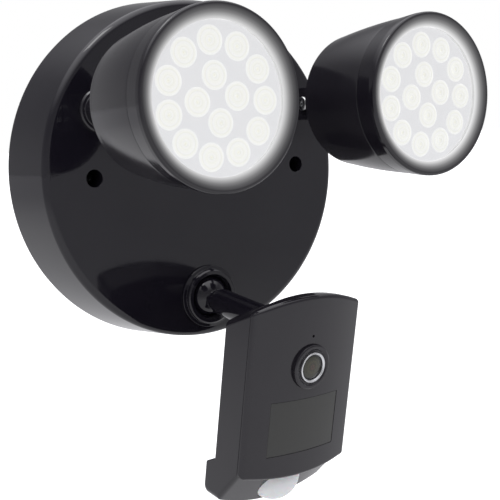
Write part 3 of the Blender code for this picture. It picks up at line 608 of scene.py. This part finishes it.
shell = turned("base", rounded([
    (0.0, FACE_DEPTH, 0), (FACE_R, FACE_DEPTH, FACE_CORNER), (BACK_R, SHELL_BACK, 0.5),
    (RIM_INNER_R, SHELL_BACK, 0.3), (RIM_INNER_R, 6.6, 0), (92.2, 8.6, 0), (89.0, 36.7, 2.0),
    (87.0, FACE_INSIDE, 0.4), (0.0, FACE_INSIDE, 0),
], steps=8), BASE_SIDES)
for side in (-1, 1):
    mount = (side * MOUNT_X, 0.0)
    add(shell, cylinder("tube", 6.7, 6.9, 39.7, 32, mount))
    cut(shell, flared("well", 4.5, 10.0, FACE_DEPTH, 0.55, 48, mount))
    cut(shell, cylinder("hole", 2.4, 0.0, 11.0, 24, mount))
    cut(shell, cylinder("socket", 9.1, 30.0, 50.0, 48, (side * LAMP_X, LAMP_Z)))
cut(shell, cylinder("ball_opening", 15.7, 30.0, 50.0, 64, (0.0, BALL_Z)))
stand_for(shell, "base_housing", gloss_black)
print("base faces:", len(shell.data.polygons))

# %% [markdown]
# ## What the wall side shows
# Turned over, the base shows a foam ring that seals it to the wall, a plate that closes it, the rubber
# ring round the supply wires, and the zinc-plated strip that is screwed to the wall first.

# %% Seal, plate, strip and grommet
stand_for(turned("seal", rounded([
    (90.4, 0.0, 0.7), (94.5, 0.0, 0.7), (94.5, 2.0, 0.4), (90.4, 2.0, 0.4)], closed=True), BASE_SIDES),
    "wall_gasket", rubber)

PLATE_SCREWS = ((0.0, 80.0), (-80.0, -22.0), (80.0, -22.0))
plate = turned("plate", rounded([
    (11.0, 4.6, 0.3), (89.6, 4.6, 0.4), (89.6, 6.6, 0.3), (11.0, 6.6, 0.3)], closed=True, steps=3), 128)
for side in (-1, 1):
    cut(plate, cylinder("clear", 5.2, 0.0, 10.0, 32, (side * MOUNT_X, 0.0)))
for place in PLATE_SCREWS:
    cut(plate, cylinder("clear", 1.8, 0.0, 10.0, 24, place))
stand_for(plate, "back_plate", dark_plastic)


def stadium(centre_x, half, radius):
    """The outline of a slot with round ends, its middle at centre_x."""
    corners = [(centre_x - half, -radius, radius), (centre_x + half, -radius, radius),
               (centre_x + half, radius, radius), (centre_x - half, radius, radius)]
    return rounded(corners, closed=True, steps=8)


def plate_corners(half_width, low, high, radius):
    """The outline of an upright rectangle with rounded corners."""
    across_and_up = ((-half_width, low), (half_width, low), (half_width, high), (-half_width, high))
    return rounded([(x, v, radius) for x, v in across_and_up], closed=True)


strip = sheet("strip", plate_corners(76.0, -8.0, 8.0, 2.5), 0.0, 2.0)
for side in (-1, 1):
    add(strip, cylinder("collar", 4.6, 1.0, 4.0, 32, (side * MOUNT_X, 0.0)))
    cut(strip, cylinder("thread", 2.25, -1.0, 6.0, 24, (side * MOUNT_X, 0.0)))
    cut(strip, sheet("slot", stadium(side * 35.0, 13.0, 2.4), -1.0, 3.0))
cut(strip, cylinder("cable_hole", 6.0, -1.0, 3.0, 48))
stand_for(soften(strip, 0.25, 2), "wall_bracket", zinc)

stand_for(turned("grommet", rounded([
    (8.0, 3.6, 1.0), (12.6, 3.6, 0.5), (12.6, 4.3, 0.2), (10.6, 4.3, 0.2), (10.6, 6.9, 0.2),
    (12.6, 6.9, 0.2), (12.6, 8.2, 0.5), (8.0, 8.2, 1.0)], closed=True), 64), "cable_grommet", rubber)


# %% [markdown]
# ## Screws
# A cross-head screw is a turned blank with two crossed slots. The slots taper in a real screw, but at
# this size a straight slot with a softened edge looks the same, and it keeps the mesh small.

# %% Screws of the base
def cross_screw(name, head, height, shank, seat, tip, centre, facing=1.0):
    """A screw along the forward axis. Facing is 1 for a head towards the front and -1 for the back."""
    top = seat + facing * height
    blank = turned(name, rounded([
        (0.0, tip, 0), (shank * 0.6, tip, 0), (shank, tip + facing * shank, 0), (shank, seat, 0),
        (head, seat, 0.2), (head, seat + facing * 0.45 * height, 0.5 * height), (head * 0.5, top, 0),
        (0.0, top, 0),
    ]), 40, centre)
    low, high = sorted((top - facing * 0.62 * height, top + facing))
    long, thin = 0.62 * head, 0.15 * head
    for a, b in ((long, thin), (thin, long)):
        corners = [(-a, -b, 0.1), (a, -b, 0.1), (a, b, 0.1), (-a, b, 0.1)]
        outline = rounded(corners, closed=True, steps=2) + np.array(centre)
        cut(blank, sheet("slot", outline, low, high))
    return blank


for side, word in ((-1, "left"), (1, "right")):
    made = cross_screw("screw", 3.9, 2.8, 1.9, 10.3, 0.4, (side * MOUNT_X, 0.0))
    stand_for(made, f"mounting_screw_{word}", zinc)
for number, place in enumerate(PLATE_SCREWS, 1):
    made = cross_screw("screw", 3.0, 1.8, 1.4, 4.3, 16.0, place, -1.0)
    stand_for(made, f"back_plate_screw_{number}", zinc)
print("pieces so far:", len(made_pieces))

# %% [markdown]
# ## The ring that holds the ball
# Two fine steps run round the ring, and then a dark channel falls in to the lip that grips the ball. The
# steps are what the light picks out, so each has its own small radius.

# %% Socket ring
BALL_DEPTH = -BALL.y / MM
SEAT_R, LIP_R, RING_BACK = 12.5, 11.0, 36.6
lip_depth = BALL_DEPTH + math.sqrt(SEAT_R ** 2 - LIP_R ** 2)
outside = rounded([
    (15.4, RING_BACK, 0), (15.4, 41.5, 0), (17.2, 41.5, 0.15), (17.2, 42.6, 0.35), (15.3, 43.0, 0.25),
    (15.1, 44.9, 0.5), (14.3, 45.6, 0.35), (12.5, 45.6, 0.3), (LIP_R, lip_depth, 0),
])
lip_turn = math.degrees(math.atan2(lip_depth - BALL_DEPTH, LIP_R))
seat = arc((0.0, BALL_DEPTH), SEAT_R, lip_turn, 0.0, 12)
ring_line = np.concatenate([outside, seat[1:], [(SEAT_R, RING_BACK)]])
ring = turned("ring", ring_line, 96, (0.0, BALL_Z))
stand_for(ring, "socket_ring", gloss_black)

# %% [markdown]
# ## Lamp brackets
# The bracket is a flanged stem that turns in the base, and a fork that takes the lamp's lug. It is
# moulded in one, so the fork's cheeks run into the stem, and every edge is broken by about half a
# millimetre. A steel bolt with a hexagon socket crosses the fork.

# %% Bracket, bolt and nut
PIN_BORE = 2.8


def round_ended(back, radius, steps=18):
    """A strip in (depth, v) from the depth back to a half-round end centred on the hinge pin."""
    end = arc((0.0, 0.0), radius, -90.0, 90.0, steps)
    return np.concatenate([[(back, -radius)], end, [(back, radius)]])


def prism_x(name, outline, low, high):
    """An outline of (depth, v) points carried sideways from x = low to x = high."""
    return lofted(name, lambda x: outline, np.array([low, high]))


ALONG_X = Matrix.Rotation(math.radians(90.0), 4, "Z")


def lay_along_x(thing):
    """Turns a piece made along the forward axis so that it lies along the hinge."""
    thing.data.transform(ALONG_X)
    return thing


def bracket():
    """Fork and flanged stem in one, with the bolt's bore and the wires' bore."""
    fork = soften(prism_x("fork", round_ended(-14.5, 8.8), -8.8, 8.8), 0.6, 3, 60.0)
    slot = rounded([(-10.4, 20.0, 0), (20.0, 20.0, 0), (20.0, -20.0, 0), (-10.4, -20.0, 0)], closed=True)
    cut(fork, prism_x("slot", slot, -4.4, 4.4))
    stem = turned("stem", rounded([
        (0.0, -39.0, 0), (8.2, -39.0, 0.4), (8.8, -38.4, 0), (8.8, -28.5, 0), (11.2, -28.5, 0.2),
        (11.2, -27.1, 0.7),
        (10.4, -26.3, 0.3), (8.8, -26.1, 0.6), (8.8, -11.5, 0.8), (0.0, -11.5, 0),
    ]), 64)
    add(fork, stem)
    cut(fork, cylinder("wire_bore", 3.2, -50.0, -9.0, 24))
    return cut(fork, lay_along_x(cylinder("bore", PIN_BORE, -30.0, 30.0, 32)))


def hinge_bolt(facing):
    """A bolt with a hexagon socket; facing is the side its head is turned away from."""
    made = turned("bolt", rounded([
        (0.0, 13.2, 0), (2.0, 13.2, 0), (2.5, 12.7, 0), (2.5, -9.1, 0), (3.8, -9.1, 0.2), (3.8, -11.6, 0.7),
        (2.6, -11.8, 0), (0.0, -11.8, 0),
    ]), 48)
    lay_along_x(cut(made, cylinder("hexagon", 1.75, -14.0, -10.0, 6)))
    if facing < 0:
        made.data.transform(Matrix.Rotation(math.pi, 4, "Z"))
    return made


def hinge_nut(facing):
    """The bolt's hexagon nut, on the same side as the bolt's tip."""
    made = soften(cylinder("nut", 4.8, 9.1, 12.5, 6), 0.35, 2, 25.0)
    lay_along_x(cut(made, cylinder("bore", PIN_BORE, 0.0, 30.0, 32)))
    if facing < 0:
        made.data.transform(Matrix.Rotation(math.pi, 4, "Z"))
    return made


# %% [markdown]
# ## Lamp heads
# The bell is a thin shell that widens towards the front, with a rounded shoulder at the back. The front
# ring is a separate moulding: a fine groove shows where the two meet. Inside the ring a cone falls to the
# clear window. Fifteen lenses stand behind the window, eleven round four.

# %% Bell
BELL_BACK, BELL_FRONT, SHOULDER, SKIN = 34.0, 74.7, 8.0, 2.4


def bell_radius(depth):
    """Outer radius: a straight taper from 33.5 to 37.65 plus a parabola that swells it by 0.6 at most."""
    share = (depth - BELL_BACK) / (BELL_FRONT - BELL_BACK)
    return 33.5 + 4.15 * share + 2.4 * share * (1.0 - share)


def bell():
    """The shell with its round boss and its lug. Its back is flat inside the shoulder's arc."""
    depth = np.linspace(BELL_BACK, BELL_FRONT - 0.6, 18)
    shoulder_at = (33.5 - SHOULDER, BELL_BACK)
    back = arc(shoulder_at, SHOULDER, -90.0, 0.0, 12)[:-1]
    side = np.column_stack([bell_radius(depth), depth])
    rim = np.array([
        (bell_radius(BELL_FRONT - 0.1) - 0.05, BELL_FRONT - 0.08),
        (bell_radius(BELL_FRONT) - 0.15, BELL_FRONT),
        (35.3, BELL_FRONT),
    ])
    inner_side = np.column_stack([bell_radius(depth[::-1]) - SKIN, depth[::-1]])
    inner_back = arc(shoulder_at, SHOULDER - SKIN, 0.0, -90.0, 8)[1:]
    outer_end, inner_end = (0.0, BELL_BACK - SHOULDER), (0.0, BELL_BACK - SHOULDER + SKIN)
    profile = np.concatenate([[outer_end], back, side, rim, inner_side, inner_back, [inner_end]])
    made = turned("bell", profile, 128)
    boss = rounded([
        (0.0, 13.3, 0), (7.6, 13.3, 0.6), (9.6, 15.2, 1.0), (12.2, 26.1, 0.0), (13.2, 26.6, 0), (0.0, 26.6, 0)
    ])
    add(made, turned("boss", boss, 64))
    lug = round_ended(-17.0, 7.9) * (-1.0, 1.0)
    add(made, soften(prism_x("lug", lug, -4.0, 4.0), 0.5, 2, 60.0))
    return cut(made, lay_along_x(cylinder("bore", PIN_BORE, -30.0, 30.0, 32)))


# %% Front ring, window and lenses
RIM_R, WINDOW_R, OPTIC_R = 38.5, 31.6, 6.3
RING_BACK_DEPTH, CONE_FOOT, RING_SHELF = 75.0, 84.6, 84.0
PANE_R, PANE_BACK, PANE_FRONT = 34.4, 82.0, 83.7


def front_ring():
    """The reach number is 0 at the window and 1 at the outer lip."""
    profile = rounded([
        (35.0, RING_BACK_DEPTH, 0.2), (37.7, RING_BACK_DEPTH, 0.12), (RIM_R, 84.0, 5.0), (RIM_R, 87.85, 1.8),
        (WINDOW_R, CONE_FOOT, 0.4), (WINDOW_R, RING_SHELF, 0.1), (35.0, RING_SHELF, 0),
    ], closed=True, steps=8)
    outward = np.clip((profile[:, 0] - WINDOW_R) / (RIM_R - 0.3 - WINDOW_R), 0.0, 1.0)
    share = np.where(profile[:, 1] > RING_SHELF - 0.1, outward, 1.0)
    return turned("front_ring", profile, 144, values=share)


def lens_places():
    """Centres of the lenses: eleven on a circle of 23.7 and four on a circle of 9.7, clockwise from 96
    degrees."""
    places = []
    for count, radius in ((11, 23.7), (4, 9.7)):
        turn = np.radians(96.0 - 360.0 * (np.arange(count) / count))
        places.append(radius * np.stack([np.cos(turn), np.sin(turn)], 1))
    return np.concatenate(places)


def lens_sheet():
    """A thin disc with fifteen turned lenses let into it, as shells of one mesh. A lens's front is a low
    dome with a raised ring, a groove round it and a dimple over the LED."""
    r = np.array([0.0, 0.5, 0.9, 1.1, 1.35, 1.8, 2.3, 2.6, 3.2, 4.0, 4.3, 4.7, 5.4, 5.9, 6.15, 6.3])
    h = np.array([.10, .12, .20, .34, .36, .26, .34, .38, .50, .46, .36, .44, .34, .20, .02, -.3])
    front = np.column_stack([r, 81.2 + h])
    behind = rounded([(OPTIC_R, 80.9, 0), (OPTIC_R, 79.4, 0.4), (3.6, 73.4, 0.4), (0.0, 73.4, 0)], steps=3)
    profile = np.concatenate([front, behind])
    values = np.concatenate([r / OPTIC_R, np.full(len(behind), 1.0)])
    disc_r = WINDOW_R + 0.4
    disc = rounded([(0.0, 79.8, 0), (disc_r, 79.8, 0.2), (disc_r, 81.3, 0.1), (0.0, 81.3, 0)], steps=2)
    whole = turned("disc", disc, 96, values=np.ones(len(disc)))
    for centre in lens_places():
        lens = turned("lens", profile, 40, tuple(centre), values)
        join = bmesh.new()
        join.from_mesh(whole.data)
        join.from_mesh(lens.data)
        join.to_mesh(whole.data)
        join.free()
        bpy.data.objects.remove(lens, do_unlink=True)
    return whole


# %% [markdown]
# Both lamps are the same set of mouldings, so one loop makes them. Only the bolts differ: their heads
# face each other across the middle, where a short key reaches them.

# %% Both lamps
for side, word in ((-1, "left"), (1, "right")):
    hinge = Matrix.Translation(joints[f"{word}_lamp_tilt"]["pos_m"])
    stand_for(bracket(), f"{word}_lamp_bracket", satin_black, hinge)
    stand_for(hinge_bolt(side), f"{word}_hinge_bolt", zinc, hinge)
    stand_for(hinge_nut(side), f"{word}_hinge_nut", zinc, hinge)
    stand_for(bell(), f"{word}_lamp_housing", satin_black, hinge)
    stand_for(front_ring(), f"{word}_lamp_bezel", bezel_glow[word], hinge)
    pane = rounded([
        (0.0, PANE_BACK, 0), (PANE_R, PANE_BACK, 0.3), (PANE_R, PANE_FRONT, 0.3), (0.0, PANE_FRONT, 0)
    ], steps=3)
    stand_for(turned("pane", pane, 128), f"{word}_lamp_window", clear_window, hinge)
    stand_for(lens_sheet(), f"{word}_lens_array", lens_lit, hinge)
print("pieces so far:", len(made_pieces))

# %% [markdown]
# ## The ball and its arm
# Ball and arm are one gloss moulding with a bore for the wires. The head is clamped on the arm's end, so
# the arm's frame is the head's frame too: its forward direction is the camera's roll axis turned round,
# and the head leans a few degrees about it, as the object is set up. Next to the ball the arm has a short
# waist, which keeps it clear of the ring when it points far down and far aside at once.

# %% Arm frame and ball
HEAD_LEAN = 3.4
forward = -Vector(joints["camera_roll"]["axis"]).normalized()
level = Vector(joints["camera_tilt"]["axis"]).normalized()
basis = Matrix((level, -forward, level.cross(-forward))).transposed().to_4x4()
ARM_PLACE = Matrix.Translation(BALL) @ basis @ Matrix.Rotation(math.radians(HEAD_LEAN), 4, "Y")
ARM_LENGTH = 64.3
HEAD_PLACE = ARM_PLACE @ Matrix.Translation(Vector((0.0, -ARM_LENGTH * MM, 0.0)))

BALL_R, ARM_R, BORE = 12.2, 7.2, 3.0
NECK_R = 5.9
bore_turn = math.degrees(math.acos(BORE / BALL_R))
neck_turn = math.degrees(math.acos(NECK_R / BALL_R))
ball_line = arc((0.0, 0.0), BALL_R, -bore_turn, neck_turn, 44)
neck = rounded([
    tuple(ball_line[-1]) + (0,), (NECK_R, 13.3, 0.9), (ARM_R, 15.6, 1.2), (ARM_R, 64.0, 0.3), (6.4, 64.0, 0),
    (6.4, 71.7, 0.4), (BORE, 71.7, 0.4), (BORE, 60.0, 0),
])
stand_for(turned("ball", np.concatenate([ball_line, neck[1:]]), 96), "ball_arm", gloss_black, ARM_PLACE)

# %% [markdown]
# ## The camera head
# The head is a tall box with a gently bowed front. Its side outline is drawn at each place across the
# width: the top and the lower edge rise and fall as a parabola, and near the sides every edge is tucked
# in by a quarter circle, so the corners come out round. The same idea makes both halves.

# %% Head sections
HALF, WALL, SEAM = 34.6, 2.3, 18.8
TOP_BACK, TOP_SEAM, TOP_RISE = 5.65, 14.8, 6.5
LEDGE_TOP, LEDGE_LOW, FOOT_BACK, FOOT_FRONT = -64.7, -68.8, -6.8, 5.2
FOOT_LOW, FOOT_DROP, CHAMFER_TOP, CHAMFER_DROP = -84.8, 6.7, -67.5, 3.0


def swell(x):
    """1 in the middle of the head and 0 at its sides, a parabola between."""
    return 1.0 - np.minimum(np.abs(x) / HALF, 1.0) ** 2


def tuck(x, radius):
    """How far an edge has turned in at x: the drop of a quarter circle of this radius at the side."""
    into = np.clip(np.abs(x) - (HALF - radius), 0.0, radius)
    return radius - math.sqrt(radius ** 2 - into ** 2)


def across(half, count):
    """Stations across the width, packed towards the sides by a sine."""
    return half * np.sin(0.5 * np.pi * (2.0 * np.arange(count) / (count - 1) - 1.0))


def rear_section(x):
    fall, back, hair = tuck(x, 2.5), tuck(x, 1.5), tuck(x, 0.3)
    rise = TOP_RISE * swell(x) - fall
    foot = FOOT_LOW - FOOT_DROP * swell(x) + fall
    chamfer = CHAMFER_TOP - CHAMFER_DROP * swell(x) + fall
    seam = SEAM - 0.12 - hair
    return rounded([
        (back, TOP_BACK + rise, 1.0), (seam, TOP_SEAM + rise, 0.3), (seam, chamfer, 0.3),
        (FOOT_FRONT - 0.4 * back, foot, 1.4), (FOOT_BACK + back, foot, 2.6),
        (FOOT_BACK + back, LEDGE_LOW, 1.2), (back, LEDGE_TOP, 0.8),
    ], closed=True, steps=5)


def rear_hollow(x):
    rise = TOP_RISE * swell(x) - WALL
    foot = FOOT_LOW - FOOT_DROP * swell(x) + WALL
    chamfer = CHAMFER_TOP - CHAMFER_DROP * swell(x) + WALL
    return np.array([
        (WALL, TOP_BACK + rise), (SEAM + 2.0, TOP_SEAM + rise + 1.0), (SEAM + 2.0, chamfer + 2.0),
        (FOOT_FRONT - 1.2, foot), (FOOT_BACK + WALL + 0.6, foot), (FOOT_BACK + WALL, LEDGE_LOW - WALL),
        (WALL, LEDGE_TOP - WALL + 0.2),
    ])


def face_depth(x):
    """Depth of the bowed front face."""
    return 21.7 + 4.5 * swell(x)


def cover_section(x):
    top = TOP_SEAM + 1.0 + TOP_RISE * swell(x) - tuck(x, 2.5)
    low = CHAMFER_TOP - 0.4 - CHAMFER_DROP * swell(x) + tuck(x, 2.5)
    front = face_depth(x) - tuck(x, 2.3)
    seam = SEAM + 0.12 + 0.6 * tuck(x, 0.3)
    edge = min(1.9, 0.9 * (front - seam))
    corners = [(seam, top - 0.5, 0.25), (front, top, edge), (front, low, edge), (seam, low + 0.2, 0.25)]
    return rounded(corners, closed=True, steps=8)


def cover_hollow(x):
    top = TOP_SEAM + TOP_RISE * swell(x) - WALL
    low = CHAMFER_TOP - CHAMFER_DROP * swell(x) + WALL
    front = face_depth(x) - WALL
    return np.array([(SEAM - 2.0, top), (front, top), (front, low), (SEAM - 2.0, low)])


# %% Rear half
INNER_HALF = HALF - WALL
PIR_DEPTH, PIR_V, PIR_R, PIR_TILT = 5.6, -77.0, 14.2, 33.0
HEAD_SCREWS = ((-27.0, 4.0), (27.0, -59.0))

rear = lofted("rear", rear_section, across(HALF, 84))
cut(rear, lofted("hollow", rear_hollow, across(INNER_HALF, 24)))
cut(rear, cylinder("arm_hole", 6.7, -5.0, 5.0, 48))
HOLE_BACK = 2.5
low_turn = math.degrees(math.asin((HOLE_BACK - PIR_DEPTH) / (PIR_R + 0.3)))
dome_hole = np.concatenate([[(0.0, HOLE_BACK)], arc((0.0, PIR_DEPTH), PIR_R + 0.3, low_turn, 90.0, 32)])
dome_hole[-1, 0] = 0.0
cut(rear, turned("dome_hole", dome_hole, 80, (0.0, PIR_V)))
for k in range(4):
    slot = stadium(0.0, 9.0, 0.9) + np.array((0.0, -44.0 - 4.2 * k))
    cut(rear, sheet("speaker_slot", slot, -3.0, 5.0))
for x, v in HEAD_SCREWS:
    add(rear, cylinder("boss", 3.4, 1.0, SEAM - 0.5, 24, (x, v)))
    cut(rear, cylinder("well", 2.7, -5.0, 6.0, 32, (x, v)))
    cut(rear, cylinder("clear", 1.6, 4.0, SEAM + 2.0, 16, (x, v)))
stand_for(rear, "camera_rear_housing", head_black, HEAD_PLACE)

# %% Front half
LENS_V, LENS_R, MIC_V = -13.5, 11.3, 1.9
IR_HALF, IR_TOP, IR_LOW = 21.8, -29.8, -57.9

cover = lofted("cover", cover_section, across(HALF, 120))
cut(cover, lofted("hollow", cover_hollow, across(INNER_HALF, 24)))
cut(cover, cylinder("lens_hole", LENS_R + 0.12, 10.0, 40.0, 80, (0.0, LENS_V)))
cut(cover, cylinder("mic_hole", 0.7, 10.0, 40.0, 20, (0.0, MIC_V)))
cut(cover, sheet("window_hole", plate_corners(IR_HALF, IR_LOW, IR_TOP, 0.6), 10.0, 40.0))
stand_for(cover, "camera_front_cover", head_black, HEAD_PLACE)


def window_section(x):
    """The smoked window follows the face, a tenth of a millimetre lower, with softened edges."""
    front = face_depth(x) - 0.08 - 0.3 * max(0.0, abs(x) - (IR_HALF - 0.4)) / 0.4
    top, low, back = IR_TOP - 0.1, IR_LOW + 0.1, front - 1.9
    corners = [(front, top, 0.25), (front, low, 0.25), (back, low, 0.1), (back, top, 0.1)]
    return rounded(corners, closed=True, steps=3)


stand_for(lofted("window", window_section, across(IR_HALF - 0.1, 60)), "ir_window", smoked, HEAD_PLACE)
print("head faces:", len(rear.data.polygons), len(cover.data.polygons))

# %% [markdown]
# ## Lens, sensor and screws of the head
# A raised ring with a sloping inside frames the lens, and a thin bright ring sits in it. The motion
# sensor looks down through a white dome under the front edge: it is a cap of a ball, turned forward.

# %% Lens pieces
lens_at = (0.0, LENS_V)
face = face_depth(0.0)
stand_for(turned("raised_ring", rounded([
    (7.72, face - 2.6, 0), (LENS_R, face - 2.6, 0), (LENS_R, face + 1.25, 0.45), (10.6, face + 1.7, 0.4),
    (9.4, face + 1.7, 0.4), (8.5, face + 0.9, 0.5), (7.72, face + 0.9, 0.15)], closed=True), 96, lens_at),
    "lens_bezel", head_black, HEAD_PLACE)
stand_for(turned("bright_ring", rounded([
    (6.45, face - 1.0, 0), (7.6, face - 1.0, 0), (7.6, face + 2.1, 0.3), (7.1, face + 2.3, 0.2),
    (6.45, face + 1.7, 0.2)], closed=True), 96, lens_at), "lens_trim_ring", aluminium, HEAD_PLACE)
GLASS_R = 6.35
dome_r = np.linspace(GLASS_R, 0.0, 22)
dome = np.column_stack([dome_r, face + 0.35 + 1.15 * np.sqrt(1.0 - (dome_r / 6.6) ** 2)])
glass_line = np.concatenate([[(0.0, face - 0.2), (GLASS_R, face - 0.2)], dome])
glass = turned("glass", glass_line, 80, lens_at, np.append([0.0, 1.0], dome_r / GLASS_R))
stand_for(glass, "lens_glass", lens_glass, HEAD_PLACE)
barrel = rounded([
    (0.0, 11.6, 0), (7.2, 11.6, 0.3), (7.2, 17.0, 0.3), (5.6, 18.0, 0.3), (5.6, face - 0.6, 0.3),
    (0.0, face - 0.6, 0)])
stand_for(turned("barrel", barrel, 64, lens_at), "lens_barrel", dark_plastic, HEAD_PLACE)

# %% Sensor dome and screws
outer = arc((0.0, PIR_DEPTH), PIR_R, 24.0, 90.0, 32)
inner = arc((0.0, PIR_DEPTH), PIR_R - 1.4, 90.0, 24.0, 24)
outer[-1, 0] = inner[0, 0] = 0.0
dome = turned("dome", np.concatenate([inner, outer]), 96, (0.0, PIR_V))
hub = Matrix.Translation(Vector((0.0, -PIR_DEPTH, PIR_V)) * MM)
dome.data.transform(hub @ Matrix.Rotation(math.radians(PIR_TILT), 4, "X") @ hub.inverted())
stand_for(dome, "pir_dome", dome_white, HEAD_PLACE)
for number, place in enumerate(HEAD_SCREWS, 1):
    made = cross_screw("screw", 2.2, 1.9, 1.2, 5.7, SEAM + 1.2, place, -1.0)
    stand_for(made, f"camera_screw_{number}", zinc, HEAD_PLACE)
print("pieces in all:", len(made_pieces))

# %% [markdown]
# ## Pieces that stay as they were packed
# Boards, heat sinks, nuts and seals sit inside, where their plain shape is right. They keep their
# meshes and get the finish that belongs to their material slot, except the lamp seals, which get a
# painted glow: emission that stands for the LEDs' light falling on them.

# %% Finishes for the inner pieces
look_of_slot = {
    "gloss_black": gloss_black, "satin_black": satin_black, "dark_plastic": dark_plastic,
    "clear_window": clear_window, "lens_plastic": white_plastic, "white_plastic": white_plastic,
    "smoked_window": smoked, "zinc_steel": zinc, "bare_aluminium": aluminium, "foam_rubber": rubber,
    "circuit_board": circuit_board, "component_plastic": component_plastic, "lens_glass": lens_glass,
}
for name, node in nodes.items():
    look = lit_seal if name.endswith("lamp_seal") else look_of_slot[slot_of[name]]
    if not node.data.materials:
        node.data.materials.append(look)
    for index in range(len(node.data.materials)):
        node.data.materials[index] = look
kept = [name for name, node in nodes.items() if not node.hide_render]
print("kept nodes:", len(kept))

# %% [markdown]
# ## Studio
# Black gloss is drawn by what it reflects, so the surround is painted by direction. It is even in front,
# darker behind the object, where the curved sides mirror it at a low angle, and brightest overhead, with
# soft changes between. Where floor and surround meet they are equally bright, so no edge shows in the
# mirror images. Rays that come straight from the camera see plain white.

# %% Surround painted by direction
FRONT_LIGHT, BACK_LIGHT, LEVEL_LIGHT, TOP_LIGHT = 0.31, 0.22, 0.15, 1.9
scene = bpy.context.scene
scene.view_settings.view_transform = "Standard"
world = bpy.data.worlds.new("studio")
scene.world = world
world.use_nodes = True
sky = world.node_tree
towards = put(sky, "ShaderNodeTexCoord").outputs["Generated"]
parts = put(sky, "ShaderNodeSeparateXYZ", [(0, towards)])
SOFT = "SMOOTHSTEP"
along = stretch(sky, parts.outputs["Y"], 0.25, 0.95, FRONT_LIGHT, BACK_LIGHT, SOFT)
overhead = stretch(sky, parts.outputs["Z"], 0.45, 0.97, 0.0, TOP_LIGHT, SOFT)
level = stretch(sky, parts.outputs["Z"], 0.0, 0.45, LEVEL_LIGHT, 0.0, SOFT)
lit = sky.nodes["Background"]
lit.inputs["Color"].default_value = (0.97, 0.965, 1.0, 1.0)
surround = math_node(sky, "ADD", along, level)
sky.links.new(math_node(sky, "ADD", surround, overhead), lit.inputs["Strength"])
seen = put(sky, "ShaderNodeBackground", [("Color", (1.0, 1.0, 1.0, 1.0)), ("Strength", 1.0)])
path = put(sky, "ShaderNodeLightPath")
chosen = [(0, path.outputs["Is Camera Ray"]), (1, lit.outputs[0]), (2, seen.outputs[0])]
pick = put(sky, "ShaderNodeMixShader", chosen)
sky.links.new(pick.outputs[0], sky.nodes["World Output"].inputs["Surface"])

# %% Floor
FLOOR_Z, FLOOR_HALF = -0.42, 30000.0
corners = [(x * FLOOR_HALF, v * FLOOR_HALF) for x, v in ((-1, -1), (1, -1), (1, 1), (-1, 1))]
floor = sheet("studio_floor", corners, -0.5, 0.5)
floor.data.transform(Matrix.Translation((0.0, 0.0, FLOOR_Z)) @ Matrix.Rotation(math.radians(90.0), 4, "X"))
floor_look, tree, shader, place = start_look("studio_floor")
paper = noise(tree, place, 4.0, 2.0)
tree.links.new(stretch(tree, paper, 0.0, 1.0, 0.8, 0.9), shader.inputs["Roughness"])
tone = blend(tree, paper, (0.40, 0.40, 0.41, 1.0), (0.44, 0.44, 0.44, 1.0))
tree.links.new(tone, shader.inputs["Base Color"])
spot = put(tree, "ShaderNodeSeparateXYZ", [(0, place)])
distance = put(tree, "ShaderNodeVectorMath", [(0, place)], operation="LENGTH").outputs["Value"]
fore = stretch(tree, spot.outputs["Y"], -1.5, 0.5, 0.06, 0.0, SOFT)
near = stretch(tree, distance, 0.6, 3.0, 0.24, 0.0, SOFT)
lit_floor = math_node(tree, "ADD", fore, near)
seen_floor = stretch(tree, distance, 0.4, 0.95, 0.7, 1.0, SOFT)
straight = put(tree, "ShaderNodeLightPath").outputs["Is Camera Ray"]
choose = put(tree, "ShaderNodeMix")
for socket, source in zip((0, 2, 3), (straight, lit_floor, seen_floor)):
    tree.links.new(source, choose.inputs[socket])
tree.links.new(choose.outputs[0], shader.inputs["Emission Strength"])
shader.inputs["Emission Color"].default_value = (1.0, 1.0, 1.0, 1.0)
shader.inputs["Specular IOR Level"].default_value = 0.0
floor.data.materials.append(floor_look)

# %% [markdown]
# Two broad lights add to the even surround. They light the pale pieces and stay out of the mirror
# images. A third, smaller one above and to the left does show: it is the short highlight on the ball
# joint, on the lens ring and along the top edges.

# %% Soft lights
def softbox(name, place, target, width, height, power):
    """A rectangular area light at place that faces target."""
    lamp = bpy.data.lights.new(name, "AREA")
    lamp.shape = "RECTANGLE"
    lamp.size, lamp.size_y, lamp.energy = width, height, power
    made = bpy.data.objects.new(name, lamp)
    facing = (Vector(target) - Vector(place)).to_track_quat("-Z", "Y").to_matrix().to_4x4()
    made.matrix_world = Matrix.Translation(place) @ facing
    scene.collection.objects.link(made)
    return made


softbox("upper_left", (-0.9, -0.9, 0.8), (0.0, -0.06, 0.0), 1.2, 0.9, 6.0).visible_glossy = False
softbox("right", (1.2, -0.5, 0.3), (0.0, -0.06, 0.0), 0.9, 0.9, 3.0).visible_glossy = False
softbox("top", (-0.35, -0.15, 1.1), (0.0, -0.06, 0.0), 0.5, 0.3, 2.0)
